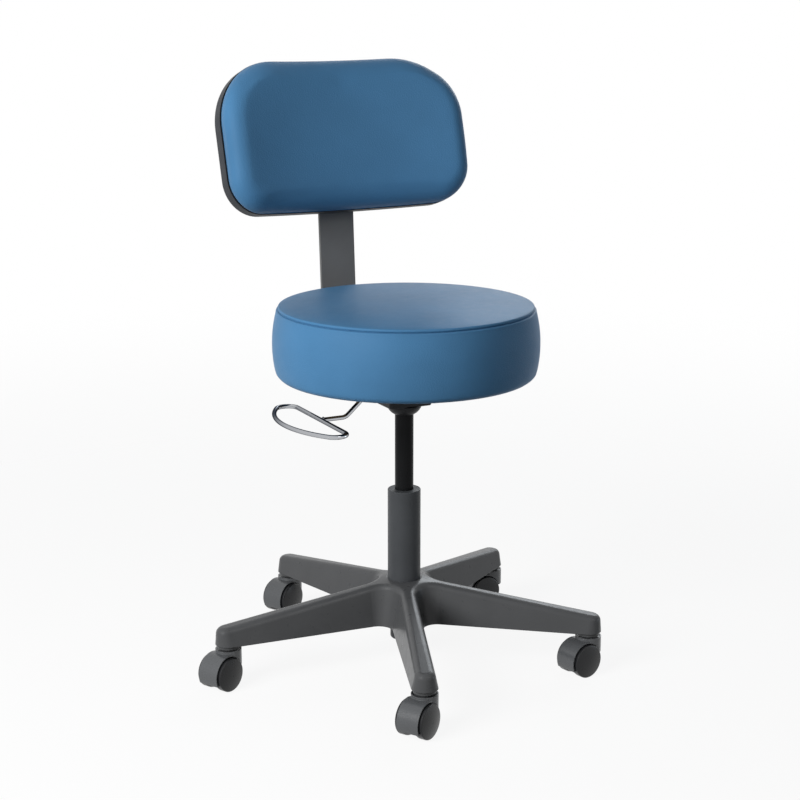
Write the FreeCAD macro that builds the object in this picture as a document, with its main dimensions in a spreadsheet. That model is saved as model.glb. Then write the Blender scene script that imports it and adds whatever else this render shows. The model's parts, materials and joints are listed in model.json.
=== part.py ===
import FreeCAD, Part
import math
import os
import Sketcher
from types import SimpleNamespace

# A height-adjustable stool with a backrest. Origin on the floor under the column's axis, +Z up,
# the sitter faces -Y and the backrest stands at +Y. Millimetres and degrees.

# Driving dimensions
SIZES = {
    # clearances: solid to solid inside one body, running fits, and room between moving bodies
    "seat_fit": 0.05,
    "run_fit": 0.06,
    "body_gap": 0.3,
    # five-leg base
    "leg_count": 5,
    "stem_circle": 292.0,
    "base_turn": 104.8,
    "nose_radius": 19.8,
    "leg_taper": 1.0,
    "leg_draft": 12.0,
    "nose_draft": 4.0,
    "leg_bottom": 66.0,
    "hub_top": 131.7,
    "hub_flat": 29.0,
    "leg_slope": 8.0,
    "web_radius": 22.0,
    "top_round": 10.0,
    "star_wall": 4.5,
    "rib_width": 3.0,
    "cell_count": 4,
    "core_start": 66.0,
    "boss_radius": 17.0,
    "boss_drop": 5.2,
    # column tube and its foot
    "tube_radius": 25.7,
    "tube_wall": 2.0,
    "tube_top": 277.0,
    "tube_taper": 1.3,
    "rim_round": 1.4,
    "foot_radius": 21.8,
    "foot_step": 6.0,
    "foot_bottom": 32.6,
    "foot_round": 3.5,
    "cup_floor": 4.0,
    "rod_hole_room": 1.2,
    "bush_top_drop": 0.2,
    "bush_length": 92.0,
    # gas spring
    "lift_down": 115.0,
    "lift_up": 10.0,
    "cylinder_radius": 14.4,
    "cylinder_wall": 1.5,
    "cylinder_top": 433.5,
    "cylinder_bottom": 180.0,
    "cylinder_taper": 1.2,
    "valve_plug": 22.0,
    "valve_bore_depth": 18.0,
    "crimp_lip": 1.6,
    "crimp_height": 2.0,
    "gland_height": 12.0,
    "rod_radius": 5.0,
    "rod_tail": 5.0,
    "piston_height": 14.0,
    "rod_head_radius": 7.0,
    "rod_head_height": 2.0,
    "race_outer": 15.0,
    "race_height": 3.0,
    "ball_radius": 2.5,
    "ball_count": 8,
    "buffer_radius": 13.0,
    "buffer_height": 10.0,
    "clip_radius": 10.0,
    "clip_height": 1.5,
    "clip_groove": 0.8,
    "clip_opening": 40.0,
    "button_radius": 3.0,
    "button_stand": 5.2,
    "press_room": 0.4,
    # taper socket and drawn seat plate
    "socket_bottom": 397.9,
    "socket_mouth_wall": 2.5,
    "socket_radius": 27.0,
    "socket_bowl": 12.0,
    "bowl_ease": 12.0,
    "neck_wall": 4.8,
    "neck_drop": 1.5,
    "dish_bottom": 411.5,
    "dish_half_x": 36.0,
    "dish_half_y": 26.0,
    "dish_corner": 6.0,
    "dish_round": 3.0,
    "plate_thick": 2.5,
    "plate_half": 75.0,
    "plate_corner": 14.0,
    "plate_bolt_offset": 60.0,
    # lever
    "wire_radius": 3.5,
    "lever_swing": 7.0,
    "pivot_offset": 24.0,
    "pivot_radius": 2.0,
    "pin_head_radius": 3.6,
    "pin_head_height": 1.8,
    "lever_past_button": 3.0,
    "handle_drop": 39.8,
    "arm_bend_out": 55.2,
    "arm_rise_run": 44.4,
    "arm_bend_radius": 16.0,
    "ring_inner_x": 140.5,
    "ring_outer_x": 202.0,
    "ring_end_radius": 17.5,
    "ring_bow_radius": 172.0,
    "slot_half_width": 5.0,
    "slot_room": 2.5,
    # seat
    "seat_shift": 3.3,
    "seat_bottom": 458.65,
    "seat_low_radius": 199.6,
    "seat_round": 9.7,
    "seat_bow_radius": 193.0,
    "seam_radius": 194.7,
    "seam_height": 567.4,
    "crown_rise": 3.5,
    "crown_flat": 110.0,
    "cover_thick": 1.2,
    "cover_tail": 150.2,
    "foam_gap": 0.2,
    "foam_rim": 23.6,
    "board_thick": 12.0,
    "dust_inner": 112.0,
    "dust_thick": 0.8,
    "bolt_radius": 3.0,
    "bolt_head_radius": 5.5,
    "bolt_head_height": 4.0,
    "nut_wall": 1.2,
    "nut_flange_radius": 9.0,
    "nut_flange_thick": 1.2,
    # back bar
    "bar_width": 60.0,
    "bar_thick": 6.0,
    "bar_start": 33.0,
    "bar_bend_radius": 24.0,
    "bar_lean": 3.5,
    "bar_front_y": 235.0,
    "bar_front_z": 560.0,
    "bar_top_bend": 60.0,
    "bar_above": 50.0,
    "bar_corner": 12.0,
    "bar_bolt_near": 46.0,
    "bar_bolt_pitch": 20.0,
    "bar_bolt_radius": 4.0,
    "bar_head_radius": 6.5,
    # backrest
    "back_y": 264.7,
    "back_z": 794.7,
    "back_lean": 16.7,
    "back_half_width": 206.0,
    "back_half_height": 121.0,
    "back_top_radius": 105.0,
    "back_low_radius": 56.0,
    "wrap_radius": 868.0,
    "shell_depth": 26.0,
    "shell_wall": 4.0,
    "shell_round": 7.0,
    "back_board_thick": 12.7,
    "pad_thick": 44.0,
    "pad_crown": 10.0,
    "pad_round": 31.0,
    "screw_u": 120.0,
    "screw_v": 55.0,
    "screw_radius": 2.0,
    "screw_head_radius": 4.3,
    "screw_head_height": 1.6,
    "screw_room": 0.3,
    # backrest guide and clamp
    "back_gap": 10.0,
    "back_travel": 25.0,
    "guide_half_height": 50.0,
    "guide_rib": 5.5,
    "stud_radius": 4.0,
    "stud_room": 0.2,
    "stud_head_radius": 10.0,
    "stud_head_height": 2.8,
    "washer_radius": 11.0,
    "washer_thick": 2.0,
    "knob_radius": 20.0,
    "knob_height": 17.0,
    "knob_bore_depth": 14.0,
    "knob_flutes": 6,
    "flute_radius": 7.0,
    "flute_circle": 24.0,
    "insert_wall": 2.4,
    # casters
    "caster_1_turn": 27.0,
    "caster_2_turn": 27.0,
    "caster_3_turn": 31.0,
    "caster_4_turn": 12.0,
    "caster_5_turn": 2.0,
    "trail": 19.0,
    "wheel_radius": 26.0,
    "wheel_width": 17.5,
    "wheel_edge": 2.0,
    "wheel_shoulder": 7.5,
    "wheel_dome": 3.0,
    "wheel_side_gap": 2.8,
    "axle_radius": 3.0,
    "axle_reach": 9.5,
    "axle_end_room": 0.5,
    "axle_boss": 9.0,
    "hood_gap": 1.2,
    "hood_wall": 2.1,
    "hood_half_width": 17.8,
    "hood_skirt": 13.5,
    "hood_front": 34.0,
    "hood_web": 5.0,
    "collar_radius": 20.0,
    "hood_clear": 2.0,
    "recess_depth": 1.5,
    "recess_room": 1.0,
    "stem_radius": 5.5,
    "stem_low": 50.5,
    "stem_high": 88.0,
    "grip_low": 76.0,
    "grip_height": 4.0,
    "grip_depth": 0.9,
    "grip_opening": 24.0,
}

doc = FreeCAD.newDocument("stool_with_backrest")
sheet = doc.addObject("Spreadsheet::Sheet", "Sheet")
for row, (alias, number) in enumerate(SIZES.items(), start=1):
    sheet.set(f"A{row}", alias)
    sheet.set(f"B{row}", str(number))
    sheet.setAlias(f"B{row}", alias)
doc.recompute()


class Size:
    """A length, angle or count together with the formula that gives it from the sheet."""

    def __init__(self, value, text):
        self.value = value
        self.text = text

    def __add__(self, other):
        other = as_size(other)
        return Size(self.value + other.value, f"({self.text} + {other.text})")

    def __sub__(self, other):
        other = as_size(other)
        return Size(self.value - other.value, f"({self.text} - {other.text})")

    def __mul__(self, other):
        other = as_size(other)
        return Size(self.value * other.value, f"({self.text} * {other.text})")

    def __truediv__(self, other):
        other = as_size(other)
        return Size(self.value / other.value, f"({self.text} / {other.text})")

    def __rsub__(self, other):
        return as_size(other) - self

    def __rtruediv__(self, other):
        return as_size(other) / self

    def __neg__(self):
        return Size(-self.value, f"(0 - {self.text})")

    __radd__ = __add__
    __rmul__ = __mul__


def as_size(number):
    return number if isinstance(number, Size) else Size(number, repr(float(number)))


def sin(angle):
    return Size(math.sin(math.radians(angle.value)), f"sin({angle.text})")


def cos(angle):
    return Size(math.cos(math.radians(angle.value)), f"cos({angle.text})")


def tan(angle):
    return Size(math.tan(math.radians(angle.value)), f"tan({angle.text})")


def root(number):
    return Size(math.sqrt(number.value), f"sqrt({number.text})")


S = SimpleNamespace(**{alias: Size(float(sheet.get(alias)), f"Sheet.{alias}") for alias in SIZES})
ZERO = as_size(0)
FULL_TURN = 360
FINISHED = []
# a cut reaches this far past what it cuts
OVERCUT = 1
# places nearer than this are the same place, and a direction with less of an axis than this runs across it
SAME_PLACE = 1e-3
ACROSS = 0.6


def bind(feature, name, size):
    feature.setExpression(name, as_size(size).text)


def new_body(label, keep=True):
    body = doc.addObject("PartDesign::Body", label)
    body.Label = label
    if keep:
        FINISHED.append(body)
    return body


def origin_part(body, role):
    return next(feature for feature in body.Origin.OriginFeatures if feature.Role == role)


def new_sketch(body, name, plane, shift=(0, 0, 0)):
    """A sketch on one of the body's origin planes, moved by shift in the sketch's own axes."""
    sketch = body.newObject("Sketcher::SketchObject", name)
    sketch.AttachmentSupport = [(origin_part(body, plane), "")]
    sketch.MapMode = "FlatFace"
    for axis, amount in zip("xyz", shift):
        bind(sketch, f"AttachmentOffset.Base.{axis}", amount)
    return sketch


def arc_between(start, end, radius, turn):
    """The shorter arc from start to end that turns left (1) or right (-1)."""
    chord = end - start
    middle = start + chord * 0.5
    rise = math.sqrt(max(radius ** 2 - chord.Length ** 2 / 4, 0.0))
    left = FreeCAD.Vector(-chord.y, chord.x, 0).normalize()
    centre = middle + left * (rise * turn)
    first, last = (start, end) if turn > 0 else (end, start)
    begin = math.atan2(first.y - centre.y, first.x - centre.x)
    finish = math.atan2(last.y - centre.y, last.x - centre.x)
    if finish < begin:
        finish += 2 * math.pi
    circle = Part.Circle(centre, FreeCAD.Vector(0, 0, 1), radius)
    return Part.ArcOfCircle(circle, begin, finish)


def add_outline(sketch, corners, closed=True):
    """Lines and arcs through corners (x, y), or (x, y, radius, turn) where an arc leads on."""
    corners = [tuple(as_size(part) for part in corner) for corner in corners]
    points = [FreeCAD.Vector(corner[0].value, corner[1].value, 0) for corner in corners]
    first = sketch.GeometryCount
    count = len(corners)
    spans = count if closed else count - 1
    heads = []
    tails = []
    constraints = []
    formulas = []

    def hold(kind, where, size):
        constraints.append(Sketcher.Constraint(kind, *where, size.value))
        formulas.append((len(constraints) - 1, size.text))

    for index in range(spans):
        start, end = points[index], points[(index + 1) % count]
        corner = corners[index]
        if len(corner) == 2:
            sketch.addGeometry(Part.LineSegment(start, end), False)
            heads.append(1)
            tails.append(2)
        else:
            radius, turn = corner[2], corner[3].value
            sketch.addGeometry(arc_between(start, end, radius.value, turn), False)
            heads.append(1 if turn > 0 else 2)
            tails.append(2 if turn > 0 else 1)
            hold("Radius", (first + index,), radius)
    for index in range(count):
        if index < spans:
            place = (first + index, heads[index])
        else:
            place = (first + index - 1, tails[index - 1])
        for kind, size in zip(("DistanceX", "DistanceY"), corners[index]):
            hold(kind, (-1, 1) + place, size)
        if index > 0 or closed:
            before = (index - 1) % count
            if before < spans and index < spans:
                constraints.append(Sketcher.Constraint("Coincident", first + before, tails[before], *place))
    base = sketch.ConstraintCount
    sketch.addConstraint(constraints)
    for index, text in formulas:
        sketch.setExpression(f"Constraints[{base + index}]", text)


def add_circle(sketch, x, y, radius):
    x, y, radius = as_size(x), as_size(y), as_size(radius)
    centre = FreeCAD.Vector(x.value, y.value, 0)
    index = sketch.addGeometry(Part.Circle(centre, FreeCAD.Vector(0, 0, 1), radius.value), False)
    base = sketch.ConstraintCount
    sketch.addConstraint([
        Sketcher.Constraint("DistanceX", -1, 1, index, 3, x.value),
        Sketcher.Constraint("DistanceY", -1, 1, index, 3, y.value),
        Sketcher.Constraint("Radius", index, radius.value),
    ])
    for step, size in enumerate((x, y, radius)):
        sketch.setExpression(f"Constraints[{base + step}]", size.text)


def rectangle(low_x, low_y, high_x, high_y):
    return [(low_x, low_y), (high_x, low_y), (high_x, high_y), (low_x, high_y)]


def rounded(half_x, half_y, top_radius, low_radius):
    """A rectangle about the origin with round corners, anticlockwise from the lower left."""
    return [
        (low_radius - half_x, -half_y),
        (half_x - low_radius, -half_y, low_radius, 1),
        (half_x, low_radius - half_y),
        (half_x, half_y - top_radius, top_radius, 1),
        (half_x - top_radius, half_y),
        (top_radius - half_x, half_y, top_radius, 1),
        (-half_x, half_y - top_radius),
        (-half_x, low_radius - half_y, low_radius, 1),
    ]


def sweep_round(body, kind, name, sketch, angle=FULL_TURN):
    """A Revolution or Groove about the sketch's own vertical axis."""
    feature = body.newObject(f"PartDesign::{kind}", name)
    feature.Profile = sketch
    feature.ReferenceAxis = (sketch, ["V_Axis"])
    bind(feature, "Angle", angle)
    return feature


def extrude(body, kind, name, sketch, length=None, both_ways=False, reverse=False):
    """A Pad or Pocket of the sketch; with no length a Pocket goes right through."""
    feature = body.newObject(f"PartDesign::{kind}", name)
    feature.Profile = sketch
    if both_ways:
        feature.SideType = "Symmetric"
    feature.Reversed = reverse
    if length is None:
        feature.Type = "ThroughAll"
    else:
        bind(feature, "Length", length)
    return feature


def polar(body, name, originals, count, axis="Z_Axis"):
    pattern = body.newObject("PartDesign::PolarPattern", name)
    pattern.Originals = originals
    pattern.Axis = (origin_part(body, axis), [""])
    pattern.Angle = FULL_TURN
    bind(pattern, "Occurrences", count)
    body.Tip = pattern


def round_edges(body, name, radius, wanted):
    """Fillets the edges of the body's last feature that the test wanted picks."""
    doc.recompute()
    base = body.Tip
    names = [f"Edge{index}" for index, edge in enumerate(base.Shape.Edges, start=1) if wanted(edge)]
    fillet = body.newObject("PartDesign::Fillet", name)
    fillet.Base = (base, names)
    bind(fillet, "Radius", radius)
    return fillet


def middle_of(edge):
    return edge.valueAt((edge.FirstParameter + edge.LastParameter) / 2)


def direction_of(edge):
    return edge.tangentAt((edge.FirstParameter + edge.LastParameter) / 2)


def turned(label, corners, shift=(0, 0, 0), angle=FULL_TURN):
    """A piece turned about a vertical axis from its half section (radius, height)."""
    body = new_body(label)
    sketch = new_sketch(body, f"{label}_section", "XZ_Plane", shift)
    add_outline(sketch, corners)
    sweep_round(body, "Revolution", f"{label}_turn", sketch, angle)
    return body


def ring_section(inner, outer, low, high):
    return rectangle(inner, low, outer, high)


def pegs(label, centres, steps, plane="XY_Plane"):
    """Round stepped pegs at centres, each step (outer, inner, low, high) along the plane's normal."""
    body = new_body(label)
    for number, (outer, inner, low, high) in enumerate(steps, start=1):
        sketch = new_sketch(body, f"{label}_step_{number}", plane, (0, 0, low))
        for x, y in centres:
            add_circle(sketch, x, y, outer)
            if inner is not None:
                add_circle(sketch, x, y, inner)
        extrude(body, "Pad", f"{label}_pad_{number}", sketch, high - low)
    return body


def cut_holes(body, name, centres, radius, low, high, plane="XY_Plane"):
    """Round holes at centres from low to high along the plane's normal."""
    sketch = new_sketch(body, f"{name}_sketch", plane, (0, 0, low))
    for x, y in centres:
        add_circle(sketch, x, y, radius)
    return extrude(body, "Pocket", name, sketch, high - low, reverse=True)


def boolean(kind, label, base, tool):
    result = doc.addObject(f"Part::{kind}", label)
    result.Label = label
    result.Base = base
    result.Tool = tool
    FINISHED.append(result)
    return result


def turn_about_z(feature, degrees):
    feature.Placement = FreeCAD.Placement(FreeCAD.Vector(), FreeCAD.Rotation(FreeCAD.Vector(0, 0, 1), 0))
    bind(feature, "Placement.Rotation.Angle", degrees)


# Heights and radii that several pieces share
RUN_RADIUS = S.rod_radius + S.run_fit
TUBE_INSIDE = S.tube_radius - S.tube_wall
TAPER_END = S.tube_radius - (S.hub_top - S.leg_bottom) * tan(S.tube_taper)
ROD_HOLE = S.rod_radius + S.rod_hole_room
CUP_TOP = S.foot_bottom + S.cup_floor
RACE_INNER = S.rod_radius + 2 * S.rod_hole_room
BALL_CIRCLE = (RACE_INNER + S.race_outer) / 2
BALL_HEIGHT = CUP_TOP + S.race_height + S.ball_radius + S.seat_fit
UPPER_RACE = BALL_HEIGHT + S.ball_radius + S.run_fit
BUFFER_LOW = UPPER_RACE + S.race_height
CYLINDER_INSIDE = S.cylinder_radius - S.cylinder_wall
GLAND_LOW = S.cylinder_bottom + S.crimp_height
GLAND_TOP = GLAND_LOW + S.gland_height
PISTON_LOW = GLAND_TOP + S.lift_up + 2 * S.body_gap
PISTON_TOP = PISTON_LOW + S.piston_height
CYLINDER_TIP = S.cylinder_radius - (S.cylinder_top - S.socket_bottom) * tan(S.cylinder_taper)
BOARD_RADIUS = S.seat_low_radius - S.foam_rim
BOARD_LOW = S.seat_bottom + S.cover_thick
BOARD_TOP = BOARD_LOW + S.board_thick
PLATE_LOW = BOARD_LOW - S.plate_thick
BUTTON_TOP = S.cylinder_top + S.button_stand
LEVER_HEIGHT = BUTTON_TOP + S.body_gap + S.wire_radius
HANDLE_HEIGHT = LEVER_HEIGHT - S.handle_drop
NECK_TOP = S.cylinder_top - S.neck_drop
NECK_RADIUS = S.cylinder_radius + S.neck_wall
SEAM_LOW = S.seam_height - S.cover_thick - S.foam_gap
CROWN_TOP = S.seam_height + S.crown_rise
CROWN_SPAN = S.seam_radius - S.crown_flat
CROWN_RADIUS = (CROWN_SPAN * CROWN_SPAN + S.crown_rise * S.crown_rise) / (2 * S.crown_rise)
NUT_BARREL = S.bar_bolt_radius + S.nut_wall
HOOD_TOP = S.leg_bottom - S.boss_drop - S.hood_clear


def base_star():
    taper, draft = S.leg_taper, S.leg_draft
    legs = int(S.leg_count.value)
    step = 360 / S.leg_count
    leg_root = S.nose_radius / cos(taper) + S.stem_circle * tan(taper)
    reach = S.stem_circle + 2 * S.nose_radius

    def slope_region(drop):
        """What lies above the legs' sloping top, lowered by drop."""
        lid = S.hub_top + S.top_round
        end = S.hub_top - (reach - S.hub_flat) * tan(S.leg_slope) - drop
        return [(0, S.hub_top - drop), (S.hub_flat, S.hub_top - drop), (reach, end), (reach, lid), (0, lid)]

    def spun(x, y, index):
        angle = index * step
        return x * cos(angle) - y * sin(angle), x * sin(angle) + y * cos(angle)

    def star_corners(inset, tip):
        """Round noses, straight sides and hollow webs, drawn in by inset, with the legs' tips at tip."""
        nose = (leg_root * cos(taper) - inset - tip * sin(taper)) / (1 - sin(taper))
        web = S.web_radius + inset
        web_out = (S.web_radius + leg_root * cos(taper)) / sin(step / 2 + taper)
        web_x = web_out * cos(step / 2) - web * sin(taper)
        web_y = web_out * sin(step / 2) - web * cos(taper)
        nose_x = tip - nose + nose * sin(taper)
        nose_y = nose * cos(taper)
        corners = []
        for index in range(legs):
            corners += [
                spun(web_x, -web_y, index),
                (*spun(nose_x, -nose_y, index), nose, 1),
                (*spun(tip, ZERO, index), nose, 1),
                spun(nose_x, nose_y, index),
                (*spun(web_x, web_y, index), web, -1),
            ]
        return corners

    # the sides lean in towards the top, while the tips stand nearly upright
    outer = new_body("star_outer", keep=False)
    rise = S.hub_top - S.leg_bottom
    tip = S.stem_circle + S.nose_radius
    low_plan = new_sketch(outer, "low_plan", "XY_Plane", (0, 0, S.leg_bottom))
    add_outline(low_plan, star_corners(ZERO, tip))
    high_plan = new_sketch(outer, "high_plan", "XY_Plane", (0, 0, S.hub_top))
    add_outline(high_plan, star_corners(rise * tan(draft), tip - rise * tan(S.nose_draft)))
    loft = outer.newObject("PartDesign::AdditiveLoft", "star_loft")
    loft.Profile = low_plan
    loft.Sections = [high_plan]
    loft.Ruled = True
    slope = new_sketch(outer, "top_slope", "XZ_Plane")
    add_outline(slope, slope_region(0))
    sweep_round(outer, "Groove", "top_cut", slope)

    def top_edge(edge):
        place = middle_of(edge)
        high = place.z > S.leg_bottom.value + SAME_PLACE
        out = math.hypot(place.x, place.y) > S.hub_flat.value + SAME_PLACE
        return high and out and abs(direction_of(edge).z) < ACROSS

    round_edges(outer, "top_rounding", S.top_round, top_edge)
    boss = new_sketch(outer, "boss_plan", "XY_Plane", (0, 0, S.leg_bottom - S.boss_drop))
    add_circle(boss, S.stem_circle, 0, S.boss_radius)
    boss_pad = extrude(outer, "Pad", "boss_pad", boss, S.boss_drop)
    stem_hole = cut_holes(outer, "stem_hole", [(S.stem_circle, 0)], S.stem_radius + S.seat_fit,
                          S.leg_bottom - S.boss_drop, S.stem_high + S.seat_fit)
    polar(outer, "bosses", [boss_pad, stem_hole], S.leg_count)
    bore = new_sketch(outer, "hub_bore", "XZ_Plane")
    add_outline(bore, [
        (0, S.leg_bottom),
        (TAPER_END + S.seat_fit, S.leg_bottom),
        (S.tube_radius + S.seat_fit, S.hub_top),
        (0, S.hub_top),
    ])
    sweep_round(outer, "Groove", "hub_cut", bore)

    # the underside is hollow, with cross ribs in every leg
    core = new_body("star_core", keep=False)
    core_end = S.stem_circle - S.boss_radius - S.star_wall
    cell_length = (core_end - S.core_start + S.rib_width) / S.cell_count - S.rib_width
    cell_plan = new_sketch(core, "cell_plan", "XY_Plane", (0, 0, S.leg_bottom))
    for index in range(int(S.cell_count.value)):
        start = S.core_start + index * (cell_length + S.rib_width)
        end = start + cell_length
        start_half = leg_root - start * tan(taper) - S.star_wall
        end_half = leg_root - end * tan(taper) - S.star_wall
        add_outline(cell_plan, [(start, -start_half), (end, -end_half), (end, end_half), (start, start_half)])
    cell_pad = extrude(core, "Pad", "cell_pad", cell_plan, rise)
    bind(cell_pad, "TaperAngle", -draft)
    polar(core, "cells", [cell_pad], S.leg_count)
    core_slope = new_sketch(core, "core_slope", "XZ_Plane")
    add_outline(core_slope, slope_region(S.star_wall))
    sweep_round(core, "Groove", "core_cut", core_slope)
    star = boolean("Cut", "base_star", outer, core)
    turn_about_z(star, S.base_turn)


def column():
    turned("column_tube", [
        (ROD_HOLE, S.foot_bottom),
        (S.foot_radius - S.foot_round, S.foot_bottom, S.foot_round, 1),
        (S.foot_radius, S.foot_bottom + S.foot_round),
        (S.foot_radius, S.leg_bottom - S.foot_step),
        (TAPER_END, S.leg_bottom),
        (S.tube_radius, S.hub_top),
        (S.tube_radius, S.tube_top - S.rim_round, S.rim_round, 1),
        (S.tube_radius - S.rim_round, S.tube_top),
        (TUBE_INSIDE, S.tube_top),
        (TUBE_INSIDE, S.hub_top),
        (TAPER_END - S.tube_wall, S.leg_bottom),
        (S.foot_radius - S.tube_wall, S.leg_bottom - S.foot_step),
        (S.foot_radius - S.tube_wall, CUP_TOP),
        (ROD_HOLE, CUP_TOP),
    ])
    bush_top = S.tube_top - S.bush_top_drop
    turned("guide_bush", ring_section(S.cylinder_radius + S.run_fit, TUBE_INSIDE - S.seat_fit,
                                      bush_top - S.bush_length, bush_top))
    turned("bearing_race_lower", ring_section(RACE_INNER, S.race_outer, CUP_TOP, CUP_TOP + S.race_height))
    turned("bearing_race_upper", ring_section(RUN_RADIUS, S.race_outer, UPPER_RACE, BUFFER_LOW))
    balls = new_body("bearing_balls")
    half_ball = new_sketch(balls, "ball_section", "XZ_Plane", (BALL_CIRCLE, 0, 0))
    add_outline(half_ball, [
        (0, BALL_HEIGHT - S.ball_radius, S.ball_radius, 1),
        (S.ball_radius, BALL_HEIGHT, S.ball_radius, 1),
        (0, BALL_HEIGHT + S.ball_radius),
    ])
    ball = sweep_round(balls, "Revolution", "ball", half_ball)
    polar(balls, "ball_row", [ball], S.ball_count)


def piston_pieces():
    clip_top = S.foot_bottom - S.body_gap
    clip_low = clip_top - S.clip_height
    groove = S.rod_radius - S.clip_groove
    head_top = PISTON_TOP + S.rod_head_height
    turned("piston_rod", [
        (0, clip_low - S.rod_tail),
        (S.rod_radius, clip_low - S.rod_tail),
        (S.rod_radius, clip_low),
        (groove, clip_low),
        (groove, clip_top),
        (S.rod_radius, clip_top),
        (S.rod_radius, PISTON_TOP),
        (S.rod_head_radius, PISTON_TOP),
        (S.rod_head_radius, head_top),
        (0, head_top),
    ])
    on_rod = S.rod_radius + S.seat_fit
    turned("piston", ring_section(on_rod, CYLINDER_INSIDE - S.run_fit, PISTON_LOW, PISTON_TOP))
    turned("rod_buffer", ring_section(on_rod, S.buffer_radius, BUFFER_LOW, BUFFER_LOW + S.buffer_height))
    clip = ring_section(groove + S.seat_fit, S.clip_radius, clip_low + S.seat_fit, clip_top - S.seat_fit)
    turned("retaining_clip", clip, angle=FULL_TURN - S.clip_opening)


def gas_cylinder():
    plug_low = S.cylinder_top - S.valve_plug
    bore_low = S.cylinder_top - S.valve_bore_depth
    valve_bore = S.button_radius + S.run_fit
    turned("gas_cylinder", [
        (CYLINDER_INSIDE - S.crimp_lip, S.cylinder_bottom),
        (S.cylinder_radius, S.cylinder_bottom),
        (S.cylinder_radius, S.socket_bottom),
        (CYLINDER_TIP, S.cylinder_top),
        (valve_bore, S.cylinder_top),
        (valve_bore, bore_low),
        (0, bore_low),
        (0, plug_low),
        (CYLINDER_TIP - S.cylinder_wall, plug_low),
        (CYLINDER_INSIDE, S.socket_bottom),
        (CYLINDER_INSIDE, GLAND_LOW),
        (CYLINDER_INSIDE - S.crimp_lip, GLAND_LOW),
    ])
    turned("cylinder_gland", ring_section(RUN_RADIUS, CYLINDER_INSIDE - S.seat_fit, GLAND_LOW, GLAND_TOP))
    full_press = S.pivot_offset * tan(S.lever_swing) + S.press_room
    turned("valve_button", ring_section(ZERO, S.button_radius, bore_low + full_press, BUTTON_TOP))


def seat_mechanism():
    mouth = S.cylinder_radius + S.seat_fit
    mouth_outer = mouth + S.socket_mouth_wall
    bowl_top = S.socket_bottom + S.socket_bowl
    turned("taper_socket", [
        (mouth, S.socket_bottom),
        (mouth_outer, S.socket_bottom, S.socket_bowl + S.bowl_ease, 1),
        (S.socket_radius, bowl_top),
        (S.socket_radius, S.dish_bottom),
        (NECK_RADIUS, S.dish_bottom),
        (NECK_RADIUS, NECK_TOP),
        (CYLINDER_TIP + S.seat_fit + S.neck_drop * tan(S.cylinder_taper), NECK_TOP),
    ])

    plate = new_body("seat_plate")
    dish = new_sketch(plate, "dish_plan", "XY_Plane", (0, 0, S.dish_bottom))
    add_outline(dish, rounded(S.dish_half_x, S.dish_half_y, S.dish_corner, S.dish_corner))
    extrude(plate, "Pad", "dish_pad", dish, PLATE_LOW - S.dish_bottom)

    def dish_edge(edge):
        return all(abs(vertex.Z - S.dish_bottom.value) < SAME_PLACE for vertex in edge.Vertexes)

    round_edges(plate, "dish_rounding", S.dish_round, dish_edge)
    flange = new_sketch(plate, "flange_plan", "XY_Plane", (0, 0, PLATE_LOW))
    add_outline(flange, rounded(S.plate_half, S.plate_half, S.plate_corner, S.plate_corner))
    extrude(plate, "Pad", "flange_pad", flange, S.plate_thick)
    hollow = new_sketch(plate, "hollow_plan", "XY_Plane", (0, 0, S.dish_bottom + S.plate_thick))
    inner_corner = S.dish_corner - S.plate_thick
    add_outline(hollow, rounded(S.dish_half_x - S.plate_thick, S.dish_half_y - S.plate_thick,
                                inner_corner, inner_corner))
    extrude(plate, "Pocket", "hollow_cut", hollow, BOARD_LOW - S.dish_bottom, reverse=True)
    cut_holes(plate, "neck_hole", [(ZERO, ZERO)], NECK_RADIUS + S.seat_fit,
              S.dish_bottom, S.dish_bottom + S.plate_thick)
    for name, places, radius in (("board", bolt_places(), S.bolt_radius),
                                 ("bar", bar_bolt_places(), S.bar_bolt_radius)):
        cut_holes(plate, f"{name}_bolt_holes", places, radius + S.body_gap, PLATE_LOW, BOARD_LOW)
    slot_half = S.wire_radius + S.slot_room
    slot = new_sketch(plate, "lever_slot", "YZ_Plane")
    add_outline(slot, rectangle(-S.slot_half_width, LEVER_HEIGHT - slot_half,
                                S.slot_half_width, LEVER_HEIGHT + slot_half))
    extrude(plate, "Pocket", "lever_slot_cut", slot, S.dish_half_x + OVERCUT)
    pin_hole = new_sketch(plate, "pin_hole", "XZ_Plane")
    add_circle(pin_hole, -S.pivot_offset, LEVER_HEIGHT, S.pivot_radius + S.seat_fit)
    extrude(plate, "Pocket", "pin_hole_cut", pin_hole, both_ways=True)

    pin = new_body("lever_pivot_pin")
    shank = new_sketch(pin, "pin_section", "XZ_Plane")
    add_circle(shank, -S.pivot_offset, LEVER_HEIGHT, S.pivot_radius)
    extrude(pin, "Pad", "pin_shank", shank, 2 * S.dish_half_y, both_ways=True)
    for side, sign in (("front", 1), ("rear", -1)):
        head = new_sketch(pin, f"{side}_head", "XZ_Plane", (0, 0, sign * S.dish_half_y))
        add_circle(head, -S.pivot_offset, LEVER_HEIGHT, S.pin_head_radius)
        extrude(pin, "Pad", f"{side}_head_pad", head, S.pin_head_height, reverse=sign < 0)


def bolt_places():
    offset = S.plate_bolt_offset
    return [(offset, offset), (-offset, offset), (-offset, -offset), (offset, -offset)]


def bar_bolt_places():
    return [(ZERO, S.bar_bolt_near), (ZERO, S.bar_bolt_near + S.bar_bolt_pitch)]


def add_pipe(body, name, path, profile):
    pipe = body.newObject("PartDesign::AdditivePipe", name)
    pipe.Profile = profile
    pipe.Spine = path
    return pipe


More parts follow.
